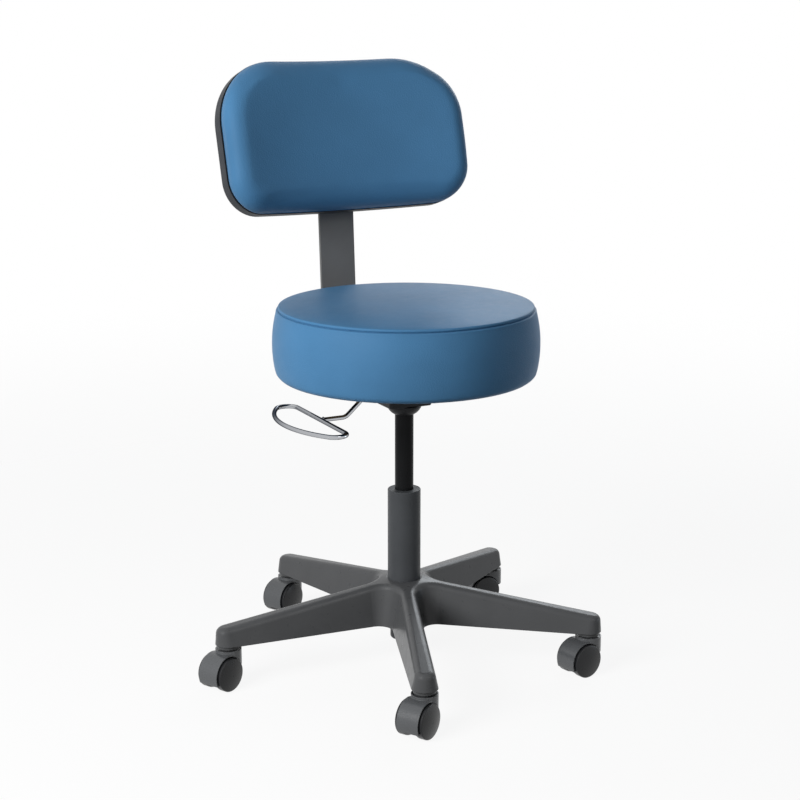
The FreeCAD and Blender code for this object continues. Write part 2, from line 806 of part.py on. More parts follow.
def lever():
    """The D-shaped handle lies level; the arm climbs to the pivot and reaches over the valve button."""
    ring = new_body("lever_ring")
    path = new_sketch(ring, "ring_path", "XY_Plane", (0, 0, HANDLE_HEIGHT))
    end_x = -S.ring_inner_x - S.ring_end_radius
    bow_x = S.ring_bow_radius - S.ring_outer_x
    between = S.ring_bow_radius - S.ring_end_radius
    end_y = root(between * between - (end_x - bow_x) * (end_x - bow_x))
    touch_x = bow_x + (end_x - bow_x) * S.ring_bow_radius / between
    touch_y = end_y * S.ring_bow_radius / between
    add_outline(path, [
        (-S.ring_inner_x, 0),
        (-S.ring_inner_x, end_y, S.ring_end_radius, 1),
        (end_x, end_y + S.ring_end_radius, S.ring_end_radius, 1),
        (touch_x, touch_y, S.ring_bow_radius, 1),
        (-S.ring_outer_x, 0, S.ring_bow_radius, 1),
        (touch_x, -touch_y, S.ring_end_radius, 1),
        (end_x, -end_y - S.ring_end_radius, S.ring_end_radius, 1),
        (-S.ring_inner_x, -end_y),
    ])
    wire = new_sketch(ring, "ring_wire", "XZ_Plane")
    add_circle(wire, -S.ring_inner_x, HANDLE_HEIGHT, S.wire_radius)
    add_pipe(ring, "ring_sweep", path, wire)

    arm = new_body("lever_arm_long", keep=False)
    low_bend = -S.arm_bend_out - S.arm_rise_run
    length = root(S.arm_rise_run * S.arm_rise_run + S.handle_drop * S.handle_drop)
    tangent = S.arm_bend_radius * S.handle_drop / (length + S.arm_rise_run)
    along_x = tangent * S.arm_rise_run / length
    along_z = tangent * S.handle_drop / length
    route = new_sketch(arm, "arm_path", "XZ_Plane")
    add_outline(route, [
        (-S.ring_inner_x, HANDLE_HEIGHT),
        (low_bend - tangent, HANDLE_HEIGHT, S.arm_bend_radius, 1),
        (low_bend + along_x, HANDLE_HEIGHT + along_z),
        (-S.arm_bend_out - along_x, LEVER_HEIGHT - along_z, S.arm_bend_radius, -1),
        (-S.arm_bend_out + tangent, LEVER_HEIGHT),
        (S.lever_past_button, LEVER_HEIGHT),
    ], closed=False)
    section = new_sketch(arm, "arm_wire", "YZ_Plane", (0, 0, -S.ring_inner_x))
    add_circle(section, 0, HANDLE_HEIGHT, S.wire_radius)
    add_pipe(arm, "arm_sweep", route, section)
    hole = new_sketch(arm, "arm_pin_hole", "XZ_Plane")
    add_circle(hole, -S.pivot_offset, LEVER_HEIGHT, S.pivot_radius + S.run_fit)
    extrude(arm, "Pocket", "arm_pin_cut", hole, both_ways=True)
    cope = new_body("arm_cope", keep=False)
    notch = new_sketch(cope, "cope_section", "XZ_Plane")
    add_circle(notch, -S.ring_inner_x, HANDLE_HEIGHT, S.wire_radius + S.seat_fit)
    extrude(cope, "Pad", "cope_pad", notch, 4 * S.wire_radius, both_ways=True)
    boolean("Cut", "lever_arm", arm, cope)


def seat():
    tail = S.seat_low_radius - S.seat_round
    round_top = S.seat_bottom + S.seat_round
    thick = S.cover_thick
    off = (S.seat_shift, 0, 0)
    turned("seat_cover_side", [
        (S.cover_tail, S.seat_bottom),
        (tail, S.seat_bottom, S.seat_round, 1),
        (S.seat_low_radius, round_top, S.seat_bow_radius, 1),
        (S.seam_radius, SEAM_LOW),
        (S.seam_radius - thick, SEAM_LOW, S.seat_bow_radius, -1),
        (S.seat_low_radius - thick, round_top, S.seat_round - thick, -1),
        (tail, BOARD_LOW),
        (S.cover_tail, BOARD_LOW),
    ], off)
    crown_low = CROWN_TOP - thick
    seam_under = S.seam_height - thick
    turned("seat_cover_top", [
        (0, crown_low),
        (S.crown_flat, crown_low, CROWN_RADIUS, -1),
        (S.seam_radius, seam_under),
        (S.seam_radius, S.seam_height, CROWN_RADIUS, 1),
        (S.crown_flat, CROWN_TOP),
        (0, CROWN_TOP),
    ], off)
    skin = thick + S.foam_gap
    foam_seat = BOARD_TOP + S.foam_gap
    foam_edge = BOARD_RADIUS + S.body_gap
    turned("seat_foam", [
        (0, foam_seat),
        (foam_edge, foam_seat),
        (foam_edge, BOARD_LOW + S.foam_gap),
        (tail, BOARD_LOW + S.foam_gap, S.seat_round - skin, 1),
        (S.seat_low_radius - skin, round_top, S.seat_bow_radius, 1),
        (S.seam_radius - skin, SEAM_LOW - S.foam_gap, CROWN_RADIUS, 1),
        (S.crown_flat, SEAM_LOW - S.foam_gap + S.crown_rise),
        (0, SEAM_LOW - S.foam_gap + S.crown_rise),
    ], off)
    board = turned("seat_board", ring_section(ZERO, BOARD_RADIUS, BOARD_LOW, BOARD_TOP), off)
    every_bolt = bolt_places() + bar_bolt_places()
    cut_holes(board, "nut_holes", every_bolt, NUT_BARREL + S.seat_fit, BOARD_LOW, BOARD_TOP)
    cut_holes(board, "nut_recesses", every_bolt, S.nut_flange_radius + S.seat_fit,
              BOARD_TOP - S.nut_flange_thick, BOARD_TOP)
    turned("seat_dust_cover", ring_section(S.dust_inner, S.cover_tail - S.body_gap,
                                           BOARD_LOW - S.dust_thick, BOARD_LOW), off)
    fasteners()


def fasteners():
    """Bolts from below into flanged nuts let into the top of the seat board."""
    bolt_top = BOARD_TOP - S.nut_flange_thick
    body = new_body("seat_t_nuts")
    for number, (centres, radius) in enumerate(((bolt_places(), S.bolt_radius),
                                                (bar_bolt_places(), S.bar_bolt_radius)), start=1):
        steps = ((NUT_BARREL, BOARD_LOW, bolt_top), (S.nut_flange_radius, bolt_top, BOARD_TOP))
        for name, (outer, low, high) in zip(("barrel", "flange"), steps):
            sketch = new_sketch(body, f"nut_{name}_{number}", "XY_Plane", (0, 0, low))
            for x, y in centres:
                add_circle(sketch, x, y, outer)
                add_circle(sketch, x, y, radius + S.seat_fit)
            extrude(body, "Pad", f"nut_{name}_pad_{number}", sketch, high - low)
    pegs("seat_bolts", bolt_places(), [
        (S.bolt_head_radius, None, PLATE_LOW - S.bolt_head_height, PLATE_LOW),
        (S.bolt_radius, None, PLATE_LOW, bolt_top),
    ])
    bar_low = PLATE_LOW - S.bar_thick
    pegs("bar_bolts", bar_bolt_places(), [
        (S.bar_head_radius, None, bar_low - S.bolt_head_height, bar_low),
        (S.bar_bolt_radius, None, bar_low, bolt_top),
    ])


def back_bar():
    """Flat bar: level under the seat, up behind it, then leaning back behind the backrest."""
    lean, tilt = S.bar_lean, S.back_lean
    thick, inner, top = S.bar_thick, S.bar_bend_radius, PLATE_LOW
    outer = inner + thick

    bend_z = top + inner
    bend_y = S.bar_front_y + (bend_z - S.bar_front_z) * tan(lean) - inner / cos(lean)

    def low_bend(radius):
        return bend_y + radius * cos(lean), bend_z - radius * sin(lean)

    # the upper run's front face lies back_gap behind the backrest's rear face
    face_y = S.back_y + S.back_gap * cos(tilt)
    face_z = S.back_z - S.back_gap * sin(tilt)
    ahead = face_y - face_z * tan(tilt) - S.bar_front_y + S.bar_front_z * tan(lean)
    knee_z = ahead / (tan(lean) - tan(tilt))
    knee_y = face_y + (knee_z - face_z) * tan(tilt)
    front_radius = S.bar_top_bend + thick
    tangent = front_radius * tan((tilt - lean) / 2)
    centre_y = knee_y - tangent * sin(lean) + front_radius * cos(lean)
    centre_z = knee_z - tangent * cos(lean) - front_radius * sin(lean)

    def knee(radius, angle):
        return centre_y - radius * cos(angle), centre_z + radius * sin(angle)

    end_y = face_y + S.bar_above * sin(tilt)
    end_z = face_z + S.bar_above * cos(tilt)
    bar = new_body("back_bar")
    side = new_sketch(bar, "bar_side", "YZ_Plane")
    front_low, front_high = low_bend(inner), knee(front_radius, lean)
    rear_low, rear_high = low_bend(outer), knee(S.bar_top_bend, tilt)
    add_outline(side, [
        (S.bar_start, top - thick),
        (bend_y, top - thick, outer, 1),
        rear_low,
        (*knee(S.bar_top_bend, lean), S.bar_top_bend, -1),
        rear_high,
        (end_y + thick * cos(tilt), end_z - thick * sin(tilt)),
        (end_y, end_z),
        (*knee(front_radius, tilt), front_radius, 1),
        front_high,
        (*front_low, inner, -1),
        (bend_y, top),
        (S.bar_start, top),
    ])
    extrude(bar, "Pad", "bar_pad", side, S.bar_width, both_ways=True)

    def corner_edge(edge):
        place = middle_of(edge)
        at_side = abs(place.x) > S.bar_width.value / 2 - SAME_PLACE
        at_end = place.z > end_z.value - thick.value or place.y < S.bar_start.value + SAME_PLACE
        return at_side and at_end and edge.Length < thick.value + SAME_PLACE

    round_edges(bar, "bar_corners", S.bar_corner, corner_edge)
    cut_holes(bar, "bar_bolt_cut", bar_bolt_places(), S.bar_bolt_radius + S.body_gap, top - thick, top)
    # the slot lets the clamp stud travel with the backrest
    slot_half = S.stud_radius + S.body_gap
    slot = new_sketch(bar, "stud_slot", "XZ_Plane")
    add_outline(slot, [
        (slot_half, -S.back_travel),
        (slot_half, S.back_travel, slot_half, 1),
        (0, S.back_travel + slot_half, slot_half, 1),
        (-slot_half, S.back_travel),
        (-slot_half, -S.back_travel, slot_half, 1),
        (0, -S.back_travel - slot_half, slot_half, 1),
    ])
    lean_into_back(slot, "AttachmentOffset", sketch_axes=True)
    extrude(bar, "Pocket", "slot_cut", slot, both_ways=True)


def lean_into_back(feature, name, sketch_axes=False):
    """Sets a placement to the backrest's frame: origin in its rear face, leaning back with it."""
    leaning = FreeCAD.Rotation(FreeCAD.Vector(-1, 0, 0), 1)
    setattr(feature, name, FreeCAD.Placement(FreeCAD.Vector(), leaning))
    across, up = (-S.back_y, S.back_z) if sketch_axes else (S.back_y, S.back_z)
    bind(feature, f"{name}.Base.{'z' if sketch_axes else 'y'}", across)
    bind(feature, f"{name}.Base.{'y' if sketch_axes else 'z'}", up)
    bind(feature, f"{name}.Rotation.Angle", S.back_lean)


def wrapped(label, inset, rear, front, crown=None, rounding=None, keep=True):
    """A pad or panel with the backrest's outline, bent round the sitter between two depths."""
    body = new_body(label, keep)
    plan = new_sketch(body, f"{label}_plan", "XZ_Plane")
    half_x, half_z = S.back_half_width - inset, S.back_half_height - inset
    add_outline(plan, rounded(half_x, half_z, S.back_top_radius - inset, S.back_low_radius - inset))
    reach = front + S.pad_thick
    extrude(body, "Pad", f"{label}_pad", plan, reach)
    wide = S.wrap_radius + S.pad_thick
    behind = new_sketch(body, f"{label}_rear", "YZ_Plane", (-S.wrap_radius, 0, 0))
    add_outline(behind, rectangle(S.wrap_radius - rear, -half_z - OVERCUT, wide, half_z + OVERCUT))
    sweep_round(body, "Groove", f"{label}_rear_cut", behind)
    before = new_sketch(body, f"{label}_front", "YZ_Plane", (-S.wrap_radius, 0, 0))
    near = S.wrap_radius - reach
    face = S.wrap_radius - front
    if crown is None:
        add_outline(before, rectangle(near, -half_z - OVERCUT, face, half_z + OVERCUT))
    else:
        bulge = (half_z * half_z + crown * crown) / (2 * crown)
        add_outline(before, [
            (near, -half_z),
            (face + crown, -half_z, bulge, -1),
            (face, 0, bulge, -1),
            (face + crown, half_z),
            (near, half_z),
        ])
    sweep_round(body, "Groove", f"{label}_front_cut", before)
    if rounding is not None:
        axis_y = -S.wrap_radius.value

        def depth_of(edge):
            place = middle_of(edge)
            return S.wrap_radius.value - math.hypot(place.x, place.y - axis_y)

        def face_edge(edge):
            depth = depth_of(edge)
            if crown is None:
                at_face = abs(depth - rear.value) < SAME_PLACE
            else:
                at_face = depth > (front - crown).value - SAME_PLACE
            return at_face and abs(direction_of(edge).y) < ACROSS

        round_edges(body, f"{label}_rounding", rounding, face_edge)
    return body


def screw_places():
    u, v = S.screw_u, S.screw_v
    return [(u, v), (-u, v), (-u, -v), (u, -v)]


def backrest():
    wall, depth = S.shell_wall, S.shell_depth
    seat_gap = S.seat_fit * 2
    wrap_at_screw = S.wrap_radius - root(S.wrap_radius * S.wrap_radius - S.screw_u * S.screw_u)
    head_floor = wrap_at_screw + wall / 2
    head_low = head_floor - S.screw_head_height
    board_inset = wall + S.body_gap

    outer = wrapped("shell_outer", ZERO, ZERO, depth, rounding=S.shell_round, keep=False)
    cut_holes(outer, "head_holes", screw_places(), S.screw_head_radius + S.screw_room,
              -S.pad_thick, head_floor, "XZ_Plane")
    cut_holes(outer, "shank_holes", screw_places(), S.screw_radius + S.screw_room,
              head_floor, head_floor + 2 * wall, "XZ_Plane")
    cut_holes(outer, "stud_hole", [(ZERO, ZERO)], S.stud_radius + S.stud_room, -wall, 2 * wall, "XZ_Plane")
    tray = wrapped("shell_tray", wall, wall, depth + S.body_gap, keep=False)
    shell = boolean("Cut", "back_shell", outer, tray)

    board_front = wall + seat_gap + S.back_board_thick
    board = wrapped("back_board", board_inset, wall + seat_gap, board_front)
    cut_holes(board, "pilot_holes", screw_places(), S.screw_radius + S.seat_fit,
              head_floor, head_floor + depth, "XZ_Plane")
    cut_holes(board, "stud_bore", [(ZERO, ZERO)], S.stud_radius + S.seat_fit, ZERO, 2 * depth, "XZ_Plane")
    head_seat = board_front - S.stud_head_height - S.foam_gap
    cut_holes(board, "stud_recess", [(ZERO, ZERO)], S.stud_head_radius + S.body_gap,
              head_seat, 2 * depth, "XZ_Plane")

    skin_rear = depth + S.body_gap
    pad_front = depth + S.pad_thick
    skin = S.cover_thick
    cover_outer = wrapped("cover_outer", ZERO, skin_rear, pad_front, S.pad_crown, S.pad_round, keep=False)
    cover_inner = wrapped("cover_inner", skin, depth, pad_front - skin, S.pad_crown, S.pad_round - skin,
                          keep=False)
    cover = boolean("Cut", "back_cover", cover_outer, cover_inner)
    inside = skin + S.foam_gap
    foam_root = wrapped("foam_root", board_inset, board_front + S.foam_gap, skin_rear + skin, keep=False)
    foam_pad = wrapped("foam_pad", inside, skin_rear, pad_front - inside, S.pad_crown, S.pad_round - inside,
                       keep=False)
    foam = boolean("Fuse", "back_foam", foam_root, foam_pad)

    screws = pegs("shell_screws", screw_places(), [
        (S.screw_head_radius, None, head_low, head_floor),
        (S.screw_radius, None, head_floor, wrap_at_screw + board_front - wall / 2),
    ], "XZ_Plane")
    for piece in (shell, board, cover, foam, screws):
        lean_into_back(piece, "Placement")
    clamp(head_seat)


def clamp(head_seat):
    """The guide between shell and bar, and the stud, washer and knob that hold the backrest's height."""
    bar_front = -S.back_gap
    bar_rear = bar_front - S.bar_thick
    rib_inner = S.bar_width / 2 + S.body_gap
    rib_outer = rib_inner + S.guide_rib
    guide = new_body("back_guide")
    plate = new_sketch(guide, "guide_plan", "XZ_Plane", (0, 0, bar_front + S.body_gap))
    add_outline(plate, rectangle(-rib_outer, -S.guide_half_height, rib_outer, S.guide_half_height))
    extrude(guide, "Pad", "guide_pad", plate, S.back_gap - S.body_gap - 2 * S.seat_fit)
    ribs = new_sketch(guide, "rib_plan", "XZ_Plane", (0, 0, bar_rear))
    add_outline(ribs, rectangle(rib_inner, -S.guide_half_height, rib_outer, S.guide_half_height))
    add_outline(ribs, rectangle(-rib_outer, -S.guide_half_height, -rib_inner, S.guide_half_height))
    extrude(guide, "Pad", "rib_pad", ribs, S.bar_thick + S.body_gap)
    cut_holes(guide, "guide_hole", [(ZERO, ZERO)], S.stud_radius + S.stud_room, bar_rear, ZERO, "XZ_Plane")

    washer_rear = bar_rear - S.body_gap - S.washer_thick
    knob_base = washer_rear - S.body_gap
    stud_end = knob_base - S.knob_bore_depth + S.axle_end_room
    stud = pegs("clamp_stud", [(ZERO, ZERO)], [
        (S.stud_radius, None, stud_end, head_seat),
        (S.stud_head_radius, None, head_seat, head_seat + S.stud_head_height),
    ], "XZ_Plane")
    washer = pegs("clamp_washer", [(ZERO, ZERO)], [
        (S.washer_radius, S.stud_radius + S.seat_fit, washer_rear, washer_rear + S.washer_thick),
    ], "XZ_Plane")

    insert_outer = S.stud_radius + S.run_fit + S.insert_wall
    knob = new_body("back_knob")
    bore = insert_outer + S.seat_fit
    knob_rear = knob_base - S.knob_height
    rear = new_sketch(knob, "knob_disc", "XZ_Plane", (0, 0, knob_rear))
    add_circle(rear, 0, 0, S.knob_radius)
    extrude(knob, "Pad", "knob_pad", rear, S.knob_height)
    cut_holes(knob, "knob_bore", [(ZERO, ZERO)], bore, knob_base - S.knob_bore_depth, knob_base, "XZ_Plane")
    flutes = new_sketch(knob, "flute_plan", "XZ_Plane", (0, 0, knob_rear))
    add_circle(flutes, 0, S.flute_circle, S.flute_radius)
    flute = extrude(knob, "Pocket", "flute_cut", flutes, S.knob_height, reverse=True)
    polar(knob, "knob_grips", [flute], S.knob_flutes, "Y_Axis")
    insert = pegs("knob_insert", [(ZERO, ZERO)], [
        (insert_outer, S.stud_radius + S.run_fit, knob_base - S.knob_bore_depth, knob_base),
    ], "XZ_Plane")
    for piece in (guide, stud, washer, knob, insert):
        lean_into_back(piece, "Placement")


def hood(label):
    body = new_body(label)
    axle_x, axle_z = -S.trail, S.wheel_radius
    inside = S.wheel_radius + S.hood_gap
    outside = inside + S.hood_wall
    drum = new_sketch(body, f"{label}_drum", "XZ_Plane")
    add_circle(drum, axle_x, axle_z, outside)
    extrude(body, "Pad", f"{label}_drum_pad", drum, 2 * S.hood_half_width, both_ways=True)
    collar = new_sketch(body, f"{label}_collar", "XY_Plane", (0, 0, S.hood_skirt))
    add_circle(collar, 0, 0, S.collar_radius)
    extrude(body, "Pad", f"{label}_collar_pad", collar, HOOD_TOP - S.hood_skirt)
    cavity = new_sketch(body, f"{label}_cavity", "XZ_Plane")
    add_circle(cavity, axle_x, axle_z, inside)
    extrude(body, "Pocket", f"{label}_cavity_cut", cavity, both_ways=True)
    mouth = new_sketch(body, f"{label}_mouth", "XZ_Plane")
    far = 2 * outside
    add_outline(mouth, [
        (axle_x - far, -far),
        (S.collar_radius + far, -far),
        (S.collar_radius + far, S.hood_front),
        (ZERO, S.hood_front),
        (axle_x, S.hood_skirt),
        (axle_x - far, S.hood_skirt),
    ])
    extrude(body, "Pocket", f"{label}_mouth_cut", mouth, both_ways=True)
    web = new_sketch(body, f"{label}_web", "XZ_Plane")
    boss = S.axle_boss
    add_outline(web, [
        (axle_x - boss, axle_z - boss),
        (axle_x + boss, axle_z - boss),
        (S.collar_radius - boss / 2, S.hood_front),
        (S.collar_radius - boss / 2, axle_z + inside - boss),
        (axle_x, axle_z + inside + S.hood_wall / 2),
        (axle_x - boss, axle_z + inside - boss / 2),
    ])
    extrude(body, "Pad", f"{label}_web_pad", web, S.hood_web, both_ways=True)
    axle_hole = new_sketch(body, f"{label}_axle_hole", "XZ_Plane")
    add_circle(axle_hole, axle_x, axle_z, S.axle_radius + S.seat_fit)
    extrude(body, "Pocket", f"{label}_axle_cut", axle_hole, 2 * S.hood_web, both_ways=True)
    cut_holes(body, f"{label}_recess", [(ZERO, ZERO)], S.boss_radius + S.recess_room,
              HOOD_TOP - S.recess_depth, HOOD_TOP)
    cut_holes(body, f"{label}_stem_bore", [(ZERO, ZERO)], S.stem_radius + S.run_fit,
              S.stem_low - S.body_gap, HOOD_TOP)
    return body


def wheel(label):
    rim = S.wheel_radius - S.wheel_edge
    bore_depth = S.axle_reach + S.axle_end_room
    dome_bow = (rim * rim + S.wheel_dome * S.wheel_dome) / (2 * S.wheel_dome)
    return turned(label, [
        (S.axle_radius + S.run_fit, 0),
        (S.wheel_radius - S.wheel_shoulder, 0, S.wheel_shoulder, 1),
        (S.wheel_radius, S.wheel_shoulder),
        (S.wheel_radius, S.wheel_width - S.wheel_edge, S.wheel_edge, 1),
        (rim, S.wheel_width, dome_bow, 1),
        (0, S.wheel_width + S.wheel_dome),
        (0, bore_depth),
        (S.axle_radius + S.run_fit, bore_depth),
    ])


def casters():
    """The casters trail much alike, each turned as the last push left it."""
    wheel_face = S.hood_web / 2 + S.wheel_side_gap
    upright = FreeCAD.Vector(0, 0, 1)
    for number in range(1, int(S.leg_count.value) + 1):
        angle = S.base_turn + 360 * (number - 1) / S.leg_count
        stem = FreeCAD.Vector((S.stem_circle * cos(angle)).value, (S.stem_circle * sin(angle)).value, 0)
        turn = getattr(S, f"caster_{number}_turn")
        frame = FreeCAD.Placement(stem, FreeCAD.Rotation(upright, turn.value))
        hood(f"caster_{number}_hood").Placement = frame
        axle = new_body(f"caster_{number}_axle")
        axle_plan = new_sketch(axle, f"axle_{number}_section", "XZ_Plane")
        add_circle(axle_plan, -S.trail, S.wheel_radius, S.axle_radius)
        extrude(axle, "Pad", f"axle_{number}_pad", axle_plan, 2 * (wheel_face + S.axle_reach), both_ways=True)
        axle.Placement = frame
        for side, sign in (("left", 1), ("right", -1)):
            hub = FreeCAD.Vector(-S.trail.value, sign * wheel_face.value, S.wheel_radius.value)
            facing = FreeCAD.Rotation(upright, FreeCAD.Vector(0, sign, 0))
            wheel(f"caster_{number}_wheel_{side}").Placement = frame.multiply(FreeCAD.Placement(hub, facing))


def caster_stems():
    groove = S.stem_radius - S.grip_depth
    stems = new_body("caster_stems")
    section = new_sketch(stems, "stem_section", "XZ_Plane", (S.stem_circle, 0, 0))
    add_outline(section, [
        (0, S.stem_low),
        (S.stem_radius, S.stem_low),
        (S.stem_radius, S.grip_low),
        (groove, S.grip_low),
        (groove, S.grip_low + S.grip_height),
        (S.stem_radius, S.grip_low + S.grip_height),
        (S.stem_radius, S.stem_high),
        (0, S.stem_high),
    ])
    stem = sweep_round(stems, "Revolution", "stem", section)
    polar(stems, "stem_ring", [stem], S.leg_count)
    rings = new_body("stem_grip_rings")
    grip = new_sketch(rings, "grip_section", "XZ_Plane", (S.stem_circle, 0, 0))
    add_outline(grip, ring_section(groove + S.seat_fit, S.stem_radius, S.grip_low + S.seat_fit,
                                   S.grip_low + S.grip_height - S.seat_fit))
    split = sweep_round(rings, "Revolution", "grip", grip, FULL_TURN - S.grip_opening)
    polar(rings, "grip_ring", [split], S.leg_count)
    for group in (stems, rings):
        turn_about_z(group, S.base_turn)


base_star()
column()
piston_pieces()
gas_cylinder()
seat_mechanism()
lever()
seat()
back_bar()
backrest()
caster_stems()
casters()
doc.recompute()

# Nothing is written unless every object is sound
for feature in doc.Objects:
    faults = [state for state in feature.State if state in ("Invalid", "Error")]
    if faults:
        raise RuntimeError(f"{feature.Label}: {faults}")
for piece in FINISHED:
    if piece.Shape.isNull() or not piece.Shape.isValid() or not piece.Shape.Solids:
        raise RuntimeError(f"{piece.Label}: no sound solid")

os.makedirs("parts", exist_ok=True)
for piece in FINISHED:
    piece.Shape.exportStep(os.path.join("parts", f"{piece.Label}.step"))
print(len(FINISHED), "pieces written")
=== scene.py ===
import json
import math

import bpy
import numpy as np
from mathutils import Matrix, Vector


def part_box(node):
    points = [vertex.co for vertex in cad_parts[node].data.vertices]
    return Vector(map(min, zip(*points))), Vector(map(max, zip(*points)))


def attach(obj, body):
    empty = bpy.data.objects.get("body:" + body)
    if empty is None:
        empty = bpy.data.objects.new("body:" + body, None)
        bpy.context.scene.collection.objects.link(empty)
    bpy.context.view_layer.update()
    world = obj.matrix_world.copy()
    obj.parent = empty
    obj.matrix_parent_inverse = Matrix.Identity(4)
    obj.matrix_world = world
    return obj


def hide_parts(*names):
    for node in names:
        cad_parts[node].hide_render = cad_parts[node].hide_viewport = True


# A blue vinyl stool with a backrest on a grey five-leg base. Metres, in the model's own frame.

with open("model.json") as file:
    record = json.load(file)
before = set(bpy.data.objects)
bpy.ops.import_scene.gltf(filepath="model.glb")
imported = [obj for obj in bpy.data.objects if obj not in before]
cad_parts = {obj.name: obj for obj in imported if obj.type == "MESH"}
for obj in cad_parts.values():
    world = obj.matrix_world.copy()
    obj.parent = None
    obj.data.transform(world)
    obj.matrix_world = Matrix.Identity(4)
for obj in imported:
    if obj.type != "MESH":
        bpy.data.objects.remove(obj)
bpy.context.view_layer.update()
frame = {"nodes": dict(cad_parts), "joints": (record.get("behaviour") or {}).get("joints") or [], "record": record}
nodes = frame["nodes"]
joints = {joint["name"]: joint for joint in frame["joints"]}

# Colours, linear
VINYL = (0.066, 0.192, 0.36)
BASE_GREY = (0.075, 0.077, 0.08)
COLUMN_GREY = (0.058, 0.062, 0.067)
HOOD_GREY = (0.083, 0.087, 0.092)
WHEEL_GREY = (0.012, 0.0125, 0.014)
BAR_GREY = (0.14, 0.141, 0.142)
SHELL_GREY = (0.026, 0.029, 0.034)
KNOB_GREY = (0.028, 0.028, 0.03)
BLACK_PAINT = (0.02, 0.021, 0.023)
CYLINDER_BLACK = (0.009, 0.0094, 0.0102)
RUBBER_BLACK = (0.02, 0.02, 0.02)
CLOTH_BLACK = (0.02, 0.02, 0.021)
CHROME = (0.44, 0.45, 0.47)
# the chrome's edge tint: a painted dark reflection that darkens its edges where they are seen at a flat angle
CHROME_PAINTED_DARK_REFLECTION = (0.06, 0.065, 0.08)
ZINC = (0.6, 0.6, 0.58)
BRASS = (0.72, 0.5, 0.2)
BIRCH = (0.55, 0.38, 0.2)
FOAM_CREAM = (0.75, 0.7, 0.55)
WHITE = (1.0, 1.0, 1.0)

# the part of a texture's range over which a value or a shade goes from one end to the other
VALUE_RUN = (0.25, 0.75)
SHADE_RUN = (0.3, 0.7)
BEVEL_SAMPLES = 12


class Graph:
    """A material's node tree, with short calls for the nodes that the materials share."""

    def __init__(self, name):
        self.material = bpy.data.materials.new(name)
        self.material.use_nodes = True
        self.tree = self.material.node_tree
        self.shader = self.tree.nodes["Principled BSDF"]
        self.coords = self.node("ShaderNodeTexCoord").outputs["Object"]

    def node(self, kind, **sockets):
        """A new node with its sockets fed by name, where _ stands for a space."""
        made = self.tree.nodes.new(kind)
        for name, value in sockets.items():
            self.feed(made.inputs[name.replace("_", " ")], value)
        return made

    def feed(self, socket, value):
        if isinstance(value, bpy.types.NodeSocket):
            self.tree.links.new(value, socket)
        else:
            socket.default_value = value

    def set(self, **sockets):
        """Feeds the shader's sockets by name; a colour of three parts is made opaque."""
        for name, value in sockets.items():
            if isinstance(value, tuple) and len(value) == 3:
                value = (*value, 1.0)
            self.feed(self.shader.inputs[name.replace("_", " ")], value)

    def stretched(self, x, y, z):
        """The surface coordinates scaled along each axis, for grain that runs one way."""
        mapping = self.node("ShaderNodeMapping", Vector=self.coords, Scale=(x, y, z))
        return mapping.outputs["Vector"]

    def noise(self, scale, detail=3.0, coords=None):
        made = self.node("ShaderNodeTexNoise", Vector=coords or self.coords, Scale=scale, Detail=detail)
        return made.outputs["Fac"]

    def cells(self, scale):
        made = self.node("ShaderNodeTexVoronoi", Vector=self.coords, Scale=scale)
        return made.outputs["Distance"]

    def math(self, operation, first, second):
        made = self.tree.nodes.new("ShaderNodeMath")
        made.operation = operation
        self.feed(made.inputs[0], first)
        self.feed(made.inputs[1], second)
        return made.outputs["Value"]

    def weighted_sum(self, first, first_weight, second, second_weight):
        return self.math("ADD", self.math("MULTIPLY", first, first_weight),
                         self.math("MULTIPLY", second, second_weight))

    def mix(self, share, first, second):
        """The first shader, with that share of the second."""
        made = self.node("ShaderNodeMixShader", Fac=share)
        self.feed(made.inputs[1], first)
        self.feed(made.inputs[2], second)
        return made.outputs["Shader"]

    def between(self, source, low, high):
        """A value that runs from low to high as the source runs over the middle of its range."""
        made = self.node("ShaderNodeMapRange", Value=source, From_Min=VALUE_RUN[0], From_Max=VALUE_RUN[1],
                         To_Min=low, To_Max=high)
        return made.outputs["Result"]

    def shades(self, source, colour, dark, light):
        """The colour times dark to light, as the source runs over the middle of its range."""
        ramp = self.node("ShaderNodeValToRGB", Fac=source)
        low, high = ramp.color_ramp.elements
        low.position, high.position = SHADE_RUN
        low.color = (*(part * dark for part in colour), 1.0)
        high.color = (*(part * light for part in colour), 1.0)
        return ramp.outputs["Color"]

    def bump(self, height, depth, strength, edge=None):
        """A bump of that depth; with edge, the sharp edges also look rounded to that radius."""
        made = self.node("ShaderNodeBump", Height=height, Distance=depth, Strength=strength)
        if edge is not None:
            bevel = self.node("ShaderNodeBevel", Radius=edge)
            bevel.samples = BEVEL_SAMPLES
            self.feed(made.inputs["Normal"], bevel.outputs["Normal"])
        return made.outputs["Normal"]


def vinyl(name, colour):
    """Upholstery vinyl: a pebbled grain, a little uneven in colour and gloss."""
    graph = Graph(name)
    pebbles = graph.cells(scale=520.0)
    pores = graph.noise(scale=1500.0)
    cloud = graph.noise(scale=9.0)
    speckle = graph.weighted_sum(cloud, 0.7, pores, 0.3)
    height = graph.math("ADD", pebbles, graph.math("MULTIPLY", pores, 0.5))
    graph.set(
        Base_Color=graph.shades(speckle, colour, dark=0.9, light=1.08),
        Roughness=graph.between(graph.noise(scale=70.0), low=0.44, high=0.5),
        Normal=graph.bump(height, depth=0.0003, strength=0.7),
        Specular_IOR_Level=0.11,
    )
    return graph.material


